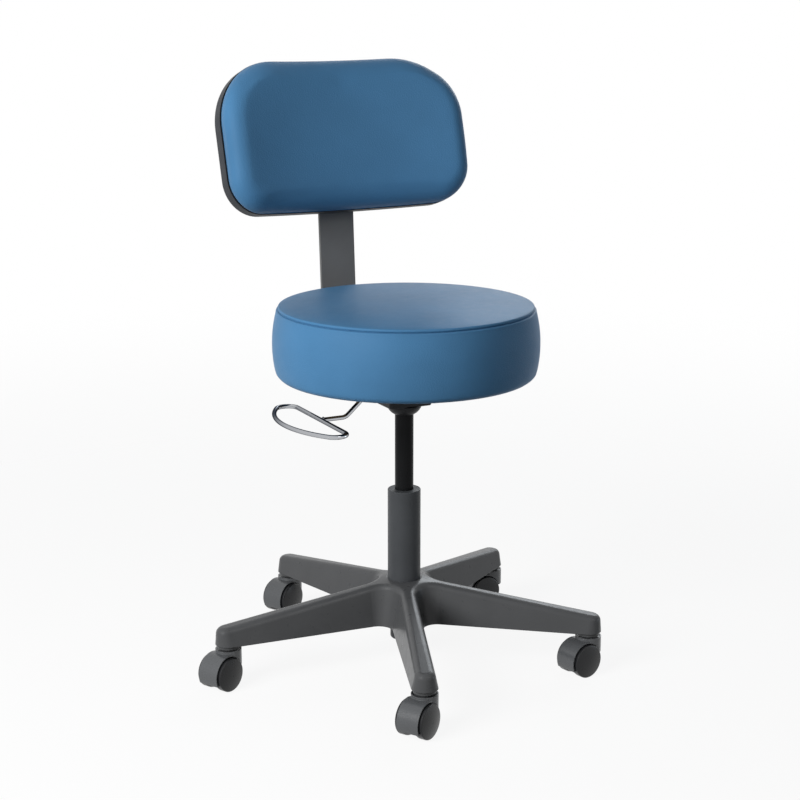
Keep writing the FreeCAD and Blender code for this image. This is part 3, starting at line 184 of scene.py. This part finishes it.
def moulded(name, colour, roughness, edge=0.0012, shine=0.12):
    """Moulded plastic with a fine spark-eroded texture."""
    graph = Graph(name)
    texture = graph.noise(scale=700.0)
    cloud = graph.noise(scale=22.0, detail=4.0)
    graph.set(
        Base_Color=graph.shades(cloud, colour, dark=0.94, light=1.06),
        Roughness=graph.between(graph.noise(scale=90.0), low=roughness - 0.04, high=roughness + 0.05),
        Normal=graph.bump(texture, depth=0.00004, strength=0.25, edge=edge),
        Specular_IOR_Level=shine,
    )
    return graph.material


def painted(name, colour, roughness, edge=0.0006):
    """Powder-coated or painted steel with a slight orange peel."""
    graph = Graph(name)
    peel = graph.noise(scale=420.0, detail=2.0)
    cloud = graph.noise(scale=16.0, detail=4.0)
    graph.set(
        Base_Color=graph.shades(cloud, colour, dark=0.93, light=1.07),
        Roughness=graph.between(graph.noise(scale=60.0), low=roughness - 0.04, high=roughness + 0.05),
        Normal=graph.bump(peel, depth=0.00006, strength=0.6, edge=edge),
        Specular_IOR_Level=0.14,
    )
    return graph.material


def drawn_tube(name, colour, roughness):
    """Blackened drawn steel, with faint lines along its length."""
    graph = Graph(name)
    lines = graph.noise(scale=900.0, coords=graph.stretched(1.0, 1.0, 0.02))
    graph.set(
        Base_Color=graph.shades(lines, colour, dark=0.85, light=1.15),
        Roughness=graph.between(lines, low=roughness - 0.05, high=roughness + 0.06),
        Normal=graph.bump(lines, depth=0.00002, strength=0.4),
        Specular_IOR_Level=0.06,
    )
    return graph.material


def chrome(name):
    """Chrome plate: slightly hazy, with a painted dark reflection: its near-black edge tint darkens it where it is
    seen at a flat angle.
    """
    graph = Graph(name)
    haze = graph.noise(scale=140.0, detail=4.0)
    graph.set(
        Base_Color=graph.shades(graph.noise(scale=30.0), CHROME, dark=0.97, light=1.03),
        Metallic=1.0,
        # painted dark reflection: the near-black edge tint darkens the chrome at flat angles
        Specular_Tint=CHROME_PAINTED_DARK_REFLECTION,
        Roughness=graph.between(haze, low=0.03, high=0.09),
        Normal=graph.bump(haze, depth=0.00002, strength=0.3),
    )
    return graph.material


def bare_metal(name, colour, roughness):
    """Turned or plated metal with fine scratches and a patchy dullness."""
    graph = Graph(name)
    scratches = graph.noise(scale=1600.0, detail=4.0, coords=graph.stretched(1.0, 1.0, 0.15))
    patches = graph.noise(scale=80.0, detail=4.0)
    graph.set(
        Base_Color=graph.shades(patches, colour, dark=0.85, light=1.1),
        Metallic=1.0,
        Roughness=graph.between(patches, low=roughness - 0.06, high=roughness + 0.1),
        Normal=graph.bump(scratches, depth=0.00002, strength=0.4),
    )
    return graph.material


def plywood(name, colour, plies_per_metre=330.0):
    """Birch plywood: long grain on the face and dark glue lines between the plies."""
    graph = Graph(name)
    grain = graph.noise(scale=60.0, detail=6.0, coords=graph.stretched(1.0, 14.0, 40.0))
    height = graph.node("ShaderNodeSeparateXYZ", Vector=graph.coords).outputs["Z"]
    plies = graph.math("PINGPONG", graph.math("MULTIPLY", height, plies_per_metre), 0.5)
    graph.set(
        Base_Color=graph.shades(graph.weighted_sum(grain, 0.75, plies, 0.5), colour, dark=0.65, light=1.15),
        Roughness=graph.between(grain, low=0.55, high=0.75),
        Normal=graph.bump(grain, depth=0.0002, strength=0.5),
    )
    return graph.material


def open_cells(name, colour, scale, depth):
    """Foam or non-woven cloth, seen only from below or inside."""
    graph = Graph(name)
    pores = graph.cells(scale)
    graph.set(
        Base_Color=graph.shades(pores, colour, dark=0.75, light=1.1),
        Roughness=graph.between(graph.noise(scale / 4), low=0.85, high=0.95),
        Normal=graph.bump(pores, depth, strength=0.8),
        Specular_IOR_Level=0.2,
    )
    return graph.material


FINISHES = {
    "base_plastic": moulded("base_plastic", BASE_GREY, roughness=0.3, shine=0.2),
    "column_plastic": painted("column_paint", COLUMN_GREY, roughness=0.38, edge=0.001),
    "caster_plastic": moulded("caster_plastic", HOOD_GREY, roughness=0.27, shine=0.5),
    "wheel_plastic": moulded("wheel_plastic", WHEEL_GREY, roughness=0.28, shine=0.3),
    "steel": bare_metal("zinc_steel", ZINC, roughness=0.32),
    "cylinder_black": drawn_tube("cylinder_black", CYLINDER_BLACK, roughness=0.3),
    "mechanism_black": painted("mechanism_black", BLACK_PAINT, roughness=0.4),
    "guide_plastic": moulded("guide_plastic", COLUMN_GREY, roughness=0.45, edge=0.0005),
    "buffer_rubber": moulded("buffer_rubber", RUBBER_BLACK, roughness=0.7, edge=0.0008),
    "lever_chrome": chrome("lever_chrome"),
    "plywood": plywood("plywood", BIRCH),
    "foam": open_cells("foam", FOAM_CREAM, scale=900.0, depth=0.0004),
    "vinyl_blue": vinyl("vinyl_blue", VINYL),
    "dust_cloth": open_cells("dust_cloth", CLOTH_BLACK, scale=1400.0, depth=0.0002),
    "bar_paint": painted("bar_paint", BAR_GREY, roughness=0.45),
    "shell_plastic": moulded("shell_plastic", SHELL_GREY, roughness=0.48, edge=0.001),
    "knob_plastic": moulded("knob_plastic", KNOB_GREY, roughness=0.4),
    "brass": bare_metal("brass", BRASS, roughness=0.28),
}


def finish_nodes():
    """Every carried-over node takes the finish of its slot in the record."""
    for row in frame["record"]["subparts"]:
        piece = nodes[row["node"]]
        piece.data.materials.clear()
        piece.data.materials.append(FINISHES[row["material_slot"]])


def add_piece(name, points, faces, slot, body):
    """A smooth mesh with the slot's finish, riding on that body."""
    mesh = bpy.data.meshes.new(name)
    mesh.from_pydata([tuple(point) for point in points], [], faces)
    mesh.validate()
    mesh.shade_smooth()
    piece = bpy.data.objects.new(name, mesh)
    bpy.context.scene.collection.objects.link(piece)
    mesh.materials.append(FINISHES[slot])
    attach(piece, body)
    return piece


# Faces between closed loops of points that follow each other in one list
def quads_between(loop_count, loop_size):
    """Quads from each loop to the following one."""
    faces = []
    for ring in range(loop_count - 1):
        low, high = ring * loop_size, (ring + 1) * loop_size
        for step in range(loop_size):
            following = (step + 1) % loop_size
            faces.append((low + step, low + following, high + following, high + step))
    return faces


def loops_to_faces(loop_count, loop_size, first_tip, last_tip):
    """Quads between the loops, with a fan of triangles to the tip at each end."""
    faces = quads_between(loop_count, loop_size)
    top = (loop_count - 1) * loop_size
    for step in range(loop_size):
        following = (step + 1) % loop_size
        faces.append((first_tip, following, step))
        faces.append((top + step, top + following, last_tip))
    return faces


# Lines and arcs of points in a plane
def line(start, end, steps):
    """Points after start up to end, evenly spaced."""
    start, end = np.array(start), np.array(end)
    return [tuple(start + (end - start) * step / steps) for step in range(1, steps + 1)]


def arc(start, end, radius, steps):
    """Points after start up to end on the arc that bulges to the right of the way from start to end."""
    start, end = np.array(start), np.array(end)
    chord = end - start
    length = np.hypot(*chord)
    side = np.array([chord[1], -chord[0]]) / length
    centre = (start + end) / 2 - side * math.sqrt(radius ** 2 - length ** 2 / 4)
    begin = math.atan2(*(start - centre)[::-1])
    finish = math.atan2(*(end - centre)[::-1])
    if finish < begin:
        finish += 2 * math.pi
    turns = begin + (finish - begin) * np.arange(1, steps + 1) / steps
    return [tuple(centre + radius * np.array([math.cos(turn), math.sin(turn)])) for turn in turns]


def turned_arc(middle, radius, first, last, step):
    """Points on an arc about middle, from one angle to another in degrees."""
    turns = [math.radians(turn) for turn in range(first, last + step, step)]
    return [(middle[0] + radius * math.cos(turn), middle[1] + radius * math.sin(turn)) for turn in turns]


def full_turn(steps):
    """The angles of that many even steps round a circle."""
    return np.arange(steps) * 2 * math.pi / steps


# Cloth: how far a cover may swell past its drawn form, and the share by which it is cut larger than the
# drawn-in form that it starts from
SWELL_PAST = 0.0006
CLOTH_SPARE = 0.012
CLOTH_BENDING = 2.0
CLOTH_FRAMES = 20
SMOOTHING_PASSES = 8
LEAST_SHIFT = 1e-9


def place_points(mesh, places):
    mesh.vertices.foreach_set("co", places.astype(np.float32).ravel())
    mesh.update()


def blown_up(piece, held_points, pressure):
    """Where a cloth simulation without gravity brings the piece's points under that pressure."""
    held = piece.vertex_groups.new(name="held")
    held.add([int(index) for index in held_points], 1.0, "REPLACE")
    cloth = piece.modifiers.new("cloth", "CLOTH")
    cloth.settings.use_pressure = True
    cloth.settings.uniform_pressure_force = pressure
    cloth.settings.effector_weights.gravity = 0.0
    cloth.settings.vertex_group_mass = held.name
    cloth.settings.bending_stiffness = CLOTH_BENDING
    cloth.settings.shrink_min = -CLOTH_SPARE
    cloth.point_cache.frame_end = CLOTH_FRAMES
    scene = bpy.context.scene
    for number in range(1, CLOTH_FRAMES + 1):
        scene.frame_set(number)
    evaluated = piece.evaluated_get(bpy.context.evaluated_depsgraph_get())
    places = np.array([vertex.co for vertex in evaluated.data.vertices])
    piece.modifiers.remove(cloth)
    piece.vertex_groups.remove(held)
    scene.frame_set(1)
    return places


def smoothed(shift, loop_size):
    """The loops' shifts, each point's averaged with its neighbours'; the two tips keep theirs."""
    grid = shift[:-2].reshape(-1, loop_size, 3)
    for _ in range(SMOOTHING_PASSES):
        grid = (np.roll(grid, 1, axis=1) + 2 * grid + np.roll(grid, -1, axis=1)) / 4
        grid[1:-1] = (grid[:-2] + 2 * grid[1:-1] + grid[2:]) / 4
    return np.concatenate([grid.reshape(-1, 3), shift[-2:]])


def swell(piece, ease, loop_size, pressure):
    """Cloth under pressure: the cover starts drawn in by ease and fills out again, held where ease is 0."""
    mesh = piece.data
    full = np.array([vertex.co for vertex in mesh.vertices])
    out = np.array([vertex.normal for vertex in mesh.vertices])
    start = full - out * ease[:, None]
    place_points(mesh, start)
    shift = smoothed(blown_up(piece, np.flatnonzero(ease == 0.0), pressure) - start, loop_size)
    length = np.linalg.norm(shift, axis=1)
    share = np.minimum(1.0, (ease + SWELL_PAST) / np.maximum(length, LEAST_SHIFT)) * (ease > 0.0)
    place_points(mesh, start + shift * share[:, None])


# Seat: the round cushion with its bowed side, sewn edge and the cover's tail turned under the board
SEAT_FOOT_RADIUS = 0.1996
SEAT_FOOT_ROUND = 0.0097
SEAT_BOW = 0.193
SEAT_TAIL = 0.1502
SEAT_EASE = 0.002
SEAT_PRESSURE = 14.0
SEAT_STEPS = 192
COVER_THICK = 0.0012
CROWN_FLAT = 0.11
CROWN_TIP = 0.006
BEAD_RADIUS = 0.0026
BEAD_PROUD = 0.0003
ROLL_RADIUS = 0.0022
SEAM_WIDTH = 0.0004
SOFT_FIT = 0.0003
PLEATS = 54
PLEAT_DEPTH = 0.0005


def seat_under(bottom):
    """The section under the seat: round the board's edge to the end of the tail, and out again below it."""
    board_low, board_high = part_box("seat_board")
    board_radius = (board_high.x - board_low.x) / 2 + SOFT_FIT
    under = [(board_radius, board_high.z + SOFT_FIT)]
    under += line(under[-1], (board_radius, board_low.z), steps=2)
    under += line(under[-1], (SEAT_TAIL, board_low.z - SOFT_FIT), steps=4)
    under += line(under[-1], (SEAT_TAIL, bottom), steps=1)
    return under + line(under[-1], (SEAT_FOOT_RADIUS - SEAT_FOOT_ROUND, bottom), steps=10)


def seat_profile():
    """The cushion's half section (radius, height) in four runs: under, side, sewn edge and crown."""
    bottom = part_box("seat_cover_side")[0].z
    top_low, top_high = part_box("seat_cover_top")
    rim_radius = (top_high.x - top_low.x) / 2
    seam, crown = top_low.z + COVER_THICK, top_high.z
    bead_height = seam - BEAD_RADIUS
    roll_height = bead_height - BEAD_RADIUS - ROLL_RADIUS - SEAM_WIDTH
    under = seat_under(bottom)
    # the side bows out as if it ran to the rim, and stops short at its rolled edge
    side = arc(under[-1], (SEAT_FOOT_RADIUS, bottom + SEAT_FOOT_ROUND), SEAT_FOOT_ROUND, steps=6)
    bow = arc(side[-1], (rim_radius, seam), SEAT_BOW, steps=34)
    side += [point for point in bow if point[1] < roll_height - ROLL_RADIUS / 2]
    roll_middle = side[-1][0] - ROLL_RADIUS
    bead_middle = rim_radius + BEAD_PROUD - BEAD_RADIUS
    edge = turned_arc((roll_middle, roll_height), ROLL_RADIUS, 0, 90, step=15)
    edge.append((roll_middle - ROLL_RADIUS / 2, bead_height - BEAD_RADIUS - SEAM_WIDTH / 2))
    edge += turned_arc((bead_middle, bead_height), BEAD_RADIUS, -90, 90, step=15)
    rise, span = crown - seam, bead_middle - CROWN_FLAT
    top = arc(edge[-1], (CROWN_FLAT, crown), (span ** 2 + rise ** 2) / (2 * rise), steps=14)
    top += line(top[-1], (CROWN_TIP, crown), steps=16)
    return under, side, edge, top


def seat_ease(under, side, edge, top):
    """How far each point of the section is drawn in: nothing where the cover is held."""
    ease = [0.0] * len(under)
    ease += [SEAT_EASE * math.sin(math.pi * step / len(side)) for step in range(len(side))]
    ease += [0.0] * len(edge)
    ease += [SEAT_EASE * math.sin(math.pi / 2 * (step + 1) / len(top)) for step in range(len(top))]
    return ease


def seat_cushion():
    side_low, side_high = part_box("seat_cover_side")
    middle = (side_low + side_high) / 2
    runs = seat_profile()
    profile = sum(runs, [])
    points = []
    for radius, height in profile:
        tucked = radius > SEAT_TAIL + SOFT_FIT and height < side_low.z + SOFT_FIT / 2
        for turn in full_turn(SEAT_STEPS):
            drop = PLEAT_DEPTH * max(0.0, math.sin(PLEATS * turn)) if tucked else 0.0
            points.append((middle.x + radius * math.cos(turn), middle.y + radius * math.sin(turn),
                           height - drop))
    points.append((middle.x, middle.y, profile[0][1]))
    points.append((middle.x, middle.y, profile[-1][1]))
    faces = loops_to_faces(len(profile), SEAT_STEPS, len(points) - 2, len(points) - 1)
    piece = add_piece("seat_cushion", points, faces, "vinyl_blue", "seat")
    ease = seat_ease(*runs)
    swell(piece, np.array([*np.repeat(ease, SEAT_STEPS), 0.0, ease[-1]]), SEAT_STEPS, SEAT_PRESSURE)
    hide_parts("seat_cover_top", "seat_cover_side", "seat_foam")


# Backrest pad: wrapped round the sitter, with a crowned face and full round edges
BACK_TOP_CORNER = 0.105
BACK_LOW_CORNER = 0.056
BACK_WRAP = 0.868
PAD_THICK = 0.044
PAD_CROWN = 0.010
PAD_ROUND = 0.031
PAD_CLEAR = 0.0004
PAD_TUCK = 0.0016
PAD_EASE = 0.0015
PAD_PRESSURE = 20.0
PAD_STEPS = 192
# half the width of the strip up the pad's middle, in which its front is looked for
PAD_MIDDLE = 0.056
# the rings up the pad's wall and over its face, as shares of the way, and the degrees from one to the
# next on its round edge
WALL_SHARES = (0.0, 0.25, 0.5, 0.75)
FACE_SHARES = np.linspace(0.95, 0.05, 19)
ROUND_STEP = 6


def back_axes():
    """The backrest's own frame: origin in its rear face, X across, Y towards the sitter, Z up the lean."""
    up = Vector(joints["back_height"]["axis"])
    towards = Vector(joints["back_knob_turn"]["axis"]) * -1
    across = Vector((1.0, 0.0, 0.0))
    matrix = Matrix((across, towards, up)).transposed().to_4x4()
    matrix.translation = Vector(joints["back_knob_turn"]["pos_m"])
    return matrix


def back_outline(half_x, half_z, inset):
    """Points round the backrest's outline, drawn in by inset, evenly spaced from the right side."""
    corners = [
        (half_x - BACK_TOP_CORNER, half_z - BACK_TOP_CORNER, BACK_TOP_CORNER - inset, 0),
        (BACK_TOP_CORNER - half_x, half_z - BACK_TOP_CORNER, BACK_TOP_CORNER - inset, 90),
        (BACK_LOW_CORNER - half_x, BACK_LOW_CORNER - half_z, BACK_LOW_CORNER - inset, 180),
        (half_x - BACK_LOW_CORNER, BACK_LOW_CORNER - half_z, BACK_LOW_CORNER - inset, 270),
    ]
    dense = []
    for x, z, radius, start in corners:
        dense += turned_arc((x, z), radius, start, start + 90, step=3)
    dense = np.array(dense + dense[:1])
    along = np.concatenate([[0.0], np.cumsum(np.hypot(*np.diff(dense, axis=0).T))])
    wanted = np.arange(PAD_STEPS) / PAD_STEPS * along[-1]
    return np.stack([np.interp(wanted, along, dense[:, axis]) for axis in (0, 1)], axis=1)


def pad_rings(half_x, half_z, rear, front):
    """Rings (outline, depth, ease) from the pad's rear edge round to the middle of its face."""
    bulge = (half_z ** 2 + PAD_CROWN ** 2) / (2 * PAD_CROWN)

    def face(outline):
        return front - (bulge - np.sqrt(bulge ** 2 - outline[:, 1] ** 2))

    rings = []
    for share in WALL_SHARES:
        outline = back_outline(half_x, half_z, PAD_TUCK * (1 - share) ** 2 + PAD_CLEAR)
        rings.append((outline, rear + (face(outline) - PAD_ROUND - rear) * share, 0.0))
    for turn in range(0, 90 + ROUND_STEP, ROUND_STEP):
        angle = math.radians(turn)
        outline = back_outline(half_x, half_z, PAD_ROUND * (1 - math.cos(angle)) + PAD_CLEAR)
        depth = face(outline) - PAD_ROUND * (1 - math.sin(angle))
        rings.append((outline, depth, PAD_EASE * (turn + ROUND_STEP) / (90 + ROUND_STEP)))
    # over the face, the round edge's last outline is drawn together
    face_edge = outline
    for share in FACE_SHARES:
        inner = face_edge * share
        rings.append((inner, face(inner), PAD_EASE))
    return rings


def wrap_point(x, z, depth):
    """A point at that depth, bent round the sitter on the wrap's cylinder."""
    radius = BACK_WRAP - depth
    return x, BACK_WRAP - math.sqrt(radius ** 2 - x ** 2), z


def back_pad():
    axes = back_axes()
    inverse = axes.inverted()
    shell = np.array([inverse @ vertex.co for vertex in nodes["back_shell"].data.vertices])
    cover = np.array([inverse @ vertex.co for vertex in nodes["back_cover"].data.vertices])
    half_x, half_z = np.abs(shell[:, 0]).max(), np.abs(shell[:, 2]).max()
    front = cover[np.abs(cover[:, 0]) < PAD_MIDDLE, 1].max()
    rear = front - PAD_THICK + PAD_CLEAR
    rings = pad_rings(half_x, half_z, rear, front)
    points = []
    for outline, depth, _ in rings:
        points += [wrap_point(x, z, d) for (x, z), d in zip(outline, depth)]
    points.append((0.0, rear, 0.0))
    points.append((0.0, front, 0.0))
    faces = loops_to_faces(len(rings), PAD_STEPS, len(points) - 2, len(points) - 1)
    piece = add_piece("back_pad", [axes @ Vector(point) for point in points], faces, "vinyl_blue", "backrest")
    ease = np.repeat([ring[2] for ring in rings], PAD_STEPS)
    swell(piece, np.array([*ease, 0.0, PAD_EASE]), PAD_STEPS, PAD_PRESSURE)
    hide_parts("back_cover", "back_foam")


# Dust cover: a ring of black cloth stapled under the seat board, which puckers a little at each staple
DUST_STEPS = 192
DUST_RINGS = 12
DUST_THICK = 0.0004
DUST_SAG = 0.0003
DUST_PUCKER = 0.5
STAPLES = 24
STAPLE_INSET = 0.006
STAPLE_LENGTH = 0.01
STAPLE_BEND = 0.04
STAPLE_WIRE = 0.0004
STAPLE_SIDES = 8


def dust_cover():
    low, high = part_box("seat_dust_cover")
    middle = (low + high) / 2
    outer = (high.x - low.x) / 2
    inner = min((vertex.co.xy - middle.xy).length for vertex in nodes["seat_dust_cover"].data.vertices)
    points = []
    for share in np.linspace(0.0, 1.0, DUST_RINGS):
        radius = inner + (outer - inner) * share
        for turn in full_turn(DUST_STEPS):
            sag = DUST_SAG * math.sin(math.pi * share) * (1 + DUST_PUCKER * math.sin(STAPLES * turn))
            points.append((middle.x + radius * math.cos(turn), middle.y + radius * math.sin(turn),
                           high.z - DUST_THICK - sag))
    piece = add_piece("dust_cover", points, quads_between(DUST_RINGS, DUST_STEPS), "dust_cloth", "seat")
    solid = piece.modifiers.new("thickness", "SOLIDIFY")
    solid.thickness = DUST_THICK
    solid.offset = 0.0
    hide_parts("seat_dust_cover")


def staple_points(middle, along, out, path):
    """Rings of points round the bent wire, given as (share of the length, height), and its two ends."""
    centres = [Vector((*middle.xy, height)) + along * share * STAPLE_LENGTH for share, height in path]
    points = []
    for centre in centres:
        for lean in full_turn(STAPLE_SIDES):
            points.append(centre + (out * math.cos(lean) + Vector((0.0, 0.0, math.sin(lean)))) * STAPLE_WIRE)
    return points + [centres[0], centres[-1]]


def dust_staples():
    low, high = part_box("seat_dust_cover")
    circle = (high.x - low.x) / 2 - STAPLE_INSET
    # the crown lies under the cloth, and the legs go up through it to the board
    cloth_face = high.z - DUST_THICK - DUST_THICK / 2
    crown = cloth_face - STAPLE_WIRE
    leg = high.z - STAPLE_WIRE
    path = ((-0.5, leg), (STAPLE_BEND - 0.5, crown), (0.5 - STAPLE_BEND, crown), (0.5, leg))
    points, faces = [], []
    for turn in full_turn(STAPLES) + math.pi / STAPLES:
        out = Vector((math.cos(turn), math.sin(turn), 0.0))
        along = Vector((-out.y, out.x, 0.0))
        first = len(points)
        points += staple_points((low + high) / 2 + out * circle, along, out, path)
        for face in loops_to_faces(len(path), STAPLE_SIDES, len(points) - first - 2, len(points) - first - 1):
            faces.append(tuple(first + index for index in face))
    add_piece("dust_staples", points, faces, "steel", "seat")


# Lever: the bead of weld where the arm meets the handle
WELD_BEAD = 0.0013
WELD_STEPS = 28
WELD_SIDES = 14


def lever_weld():
    ring_low, ring_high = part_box("lever_ring")
    wire = (ring_high.z - ring_low.z) / 2
    height = (ring_high.z + ring_low.z) / 2
    place_x = ring_high.x + WELD_BEAD / 4
    points, faces = [], []
    for turn in full_turn(WELD_STEPS):
        for lean in full_turn(WELD_SIDES):
            reach = wire + WELD_BEAD * math.cos(lean)
            points.append((place_x + WELD_BEAD * math.sin(lean), reach * math.cos(turn),
                           height + reach * math.sin(turn)))
    for step in range(WELD_STEPS):
        here, ahead = step * WELD_SIDES, (step + 1) % WELD_STEPS * WELD_SIDES
        for side in range(WELD_SIDES):
            beside = (side + 1) % WELD_SIDES
            faces.append((here + side, ahead + side, ahead + beside, here + beside))
    add_piece("lever_weld", points, faces, "lever_chrome", "lever")


# Camera, at the photograph's view
CAMERA_TURN = math.radians(-27.0)
CAMERA_REACH = 2.7301
CAMERA_LIFT = math.radians(12.123)
CAMERA_TILT = math.radians(13.666)
CAMERA_PAN = math.radians(-0.139)
CAMERA_AIM_HEIGHT = 0.494
CAMERA_LENS = 80.41
CAMERA_SENSOR = 36.0
CAMERA_FAR = 100.0


def add_camera():
    turn = Matrix.Rotation(CAMERA_TURN, 3, "Z")
    place = turn @ Vector((
        0.0,
        -CAMERA_REACH * math.cos(CAMERA_LIFT),
        CAMERA_AIM_HEIGHT + CAMERA_REACH * math.sin(CAMERA_LIFT),
    ))
    ahead = turn @ Vector((
        math.sin(CAMERA_PAN) * math.cos(CAMERA_TILT),
        math.cos(CAMERA_PAN) * math.cos(CAMERA_TILT),
        -math.sin(CAMERA_TILT),
    ))
    right = turn @ Vector((math.cos(CAMERA_PAN), -math.sin(CAMERA_PAN), 0.0))
    matrix = Matrix((right, right.cross(ahead), -ahead)).transposed().to_4x4()
    matrix.translation = place
    data = bpy.data.cameras.new("camera")
    data.lens = CAMERA_LENS
    data.sensor_width = CAMERA_SENSOR
    data.clip_end = CAMERA_FAR
    camera = bpy.data.objects.new("camera", data)
    camera.matrix_world = matrix
    bpy.context.scene.collection.objects.link(camera)
    bpy.context.scene.camera = camera


# Lamps: the height of the point that they look at, and the two colours that aren't plain white
LAMP_AIM = 0.5
COOL_WHITE = (0.88, 0.94, 1.0)
PALE_BLUE = (0.72, 0.86, 1.0)


def add_softbox(name, azimuth, height, distance, width, tall, power, colour=WHITE):
    """A softbox that looks at the object; azimuth is 0 in front of the sitter and positive towards +X."""
    turn = math.radians(azimuth)
    place = Vector((distance * math.sin(turn), -distance * math.cos(turn), height))
    data = bpy.data.lights.new(name, "AREA")
    data.shape = "RECTANGLE"
    data.size, data.size_y = width, tall
    data.energy = power
    data.color = colour
    light = bpy.data.objects.new(name, data)
    light.location = place
    light.rotation_mode = "QUATERNION"
    light.rotation_quaternion = (Vector((0.0, 0.0, LAMP_AIM)) - place).to_track_quat("-Z", "Y")
    bpy.context.scene.collection.objects.link(light)
    return light


def add_lamps():
    # the key only lights the surfaces, and a weaker lamp at its place gives their highlights
    key_place = {"azimuth": -72, "height": 1.4, "distance": 2.4, "width": 1.3, "tall": 1.3}
    key = add_softbox("key", **key_place, power=78)
    key.visible_glossy = False
    glint = add_softbox("glint", **key_place, power=30)
    glint.visible_diffuse = False
    add_softbox("front", azimuth=14, height=1.9, distance=2.2, width=0.8, tall=0.6, power=5)
    add_softbox("rear", azimuth=132, height=1.8, distance=3.0, width=2.2, tall=1.2, power=30,
                colour=COOL_WHITE)
    add_softbox("low", azimuth=68, height=0.3, distance=2.6, width=0.7, tall=0.5, power=5,
                colour=PALE_BLUE)


# World and floor: white to the eye and in reflections, with little light of their own. The floor's colour is
# FLOOR_BOUNCE for the light that it throws back and FLOOR_PALE to the eye, with a share of plain white.
# From FLOOR_FADE_START out to its rim it fades away.
WORLD_LEVEL = 0.05
FLOOR_BOUNCE = 0.15
FLOOR_PALE = 0.85
FLOOR_WHITE_SHARE = 0.9
FLOOR_ROUGHNESS = 0.9
FLOOR_RADIUS = 3.2
FLOOR_FADE_START = 0.7
FLOOR_STEPS = 96


def background_rays(tree):
    """1 for rays that show the background: straight from the camera, in a reflection or through glass."""
    path = tree.nodes.new("ShaderNodeLightPath")
    total = path.outputs["Is Camera Ray"]
    for name in ("Is Glossy Ray", "Is Transmission Ray"):
        largest = tree.nodes.new("ShaderNodeMath")
        largest.operation = "MAXIMUM"
        tree.links.new(total, largest.inputs[0])
        tree.links.new(path.outputs[name], largest.inputs[1])
        total = largest.outputs["Value"]
    return total


def add_world():
    world = bpy.data.worlds.new("studio")
    world.use_nodes = True
    bpy.context.scene.world = world
    tree = world.node_tree
    level = tree.nodes.new("ShaderNodeMapRange")
    level.inputs["To Min"].default_value = WORLD_LEVEL
    level.inputs["To Max"].default_value = 1.0
    tree.links.new(background_rays(tree), level.inputs["Value"])
    background = tree.nodes["Background"]
    background.inputs["Color"].default_value = (*WHITE, 1.0)
    tree.links.new(level.outputs["Result"], background.inputs["Strength"])


def floor_material():
    """Pale and nearly white to the eye, darker for the light that it throws back, and clear at the rim."""
    graph = Graph("floor")
    seen = background_rays(graph.tree)
    pale = graph.node("ShaderNodeMapRange", Value=seen, To_Min=FLOOR_BOUNCE, To_Max=FLOOR_PALE)
    graph.set(Base_Color=pale.outputs["Result"], Roughness=FLOOR_ROUGHNESS, Specular_IOR_Level=0.0)
    white = graph.node("ShaderNodeEmission").outputs["Emission"]
    lit = graph.mix(graph.math("MULTIPLY", seen, FLOOR_WHITE_SHARE), graph.shader.outputs["BSDF"], white)
    distance = graph.node("ShaderNodeVectorMath")
    distance.operation = "LENGTH"
    graph.feed(distance.inputs[0], graph.node("ShaderNodeNewGeometry").outputs["Position"])
    fade = graph.node("ShaderNodeMapRange", Value=distance.outputs["Value"],
                      From_Min=FLOOR_FADE_START, From_Max=FLOOR_RADIUS)
    fade.interpolation_type = "SMOOTHSTEP"
    clear = graph.node("ShaderNodeBsdfTransparent").outputs["BSDF"]
    ground = graph.mix(fade.outputs["Result"], lit, clear)
    graph.feed(graph.tree.nodes["Material Output"].inputs["Surface"], ground)
    return graph.material


def add_floor():
    """A round floor that keeps the soft shadow and fades into the white background."""
    rim = [(FLOOR_RADIUS * math.cos(turn), FLOOR_RADIUS * math.sin(turn), 0.0)
           for turn in full_turn(FLOOR_STEPS)]
    mesh = bpy.data.meshes.new("floor")
    mesh.from_pydata(rim, [], [tuple(range(FLOOR_STEPS))])
    mesh.materials.append(floor_material())
    floor = bpy.data.objects.new("floor", mesh)
    bpy.context.scene.collection.objects.link(floor)


finish_nodes()
seat_cushion()
back_pad()
dust_cover()
dust_staples()
lever_weld()
add_camera()
add_world()
add_floor()
add_lamps()
bpy.context.scene.view_settings.view_transform = "Standard"
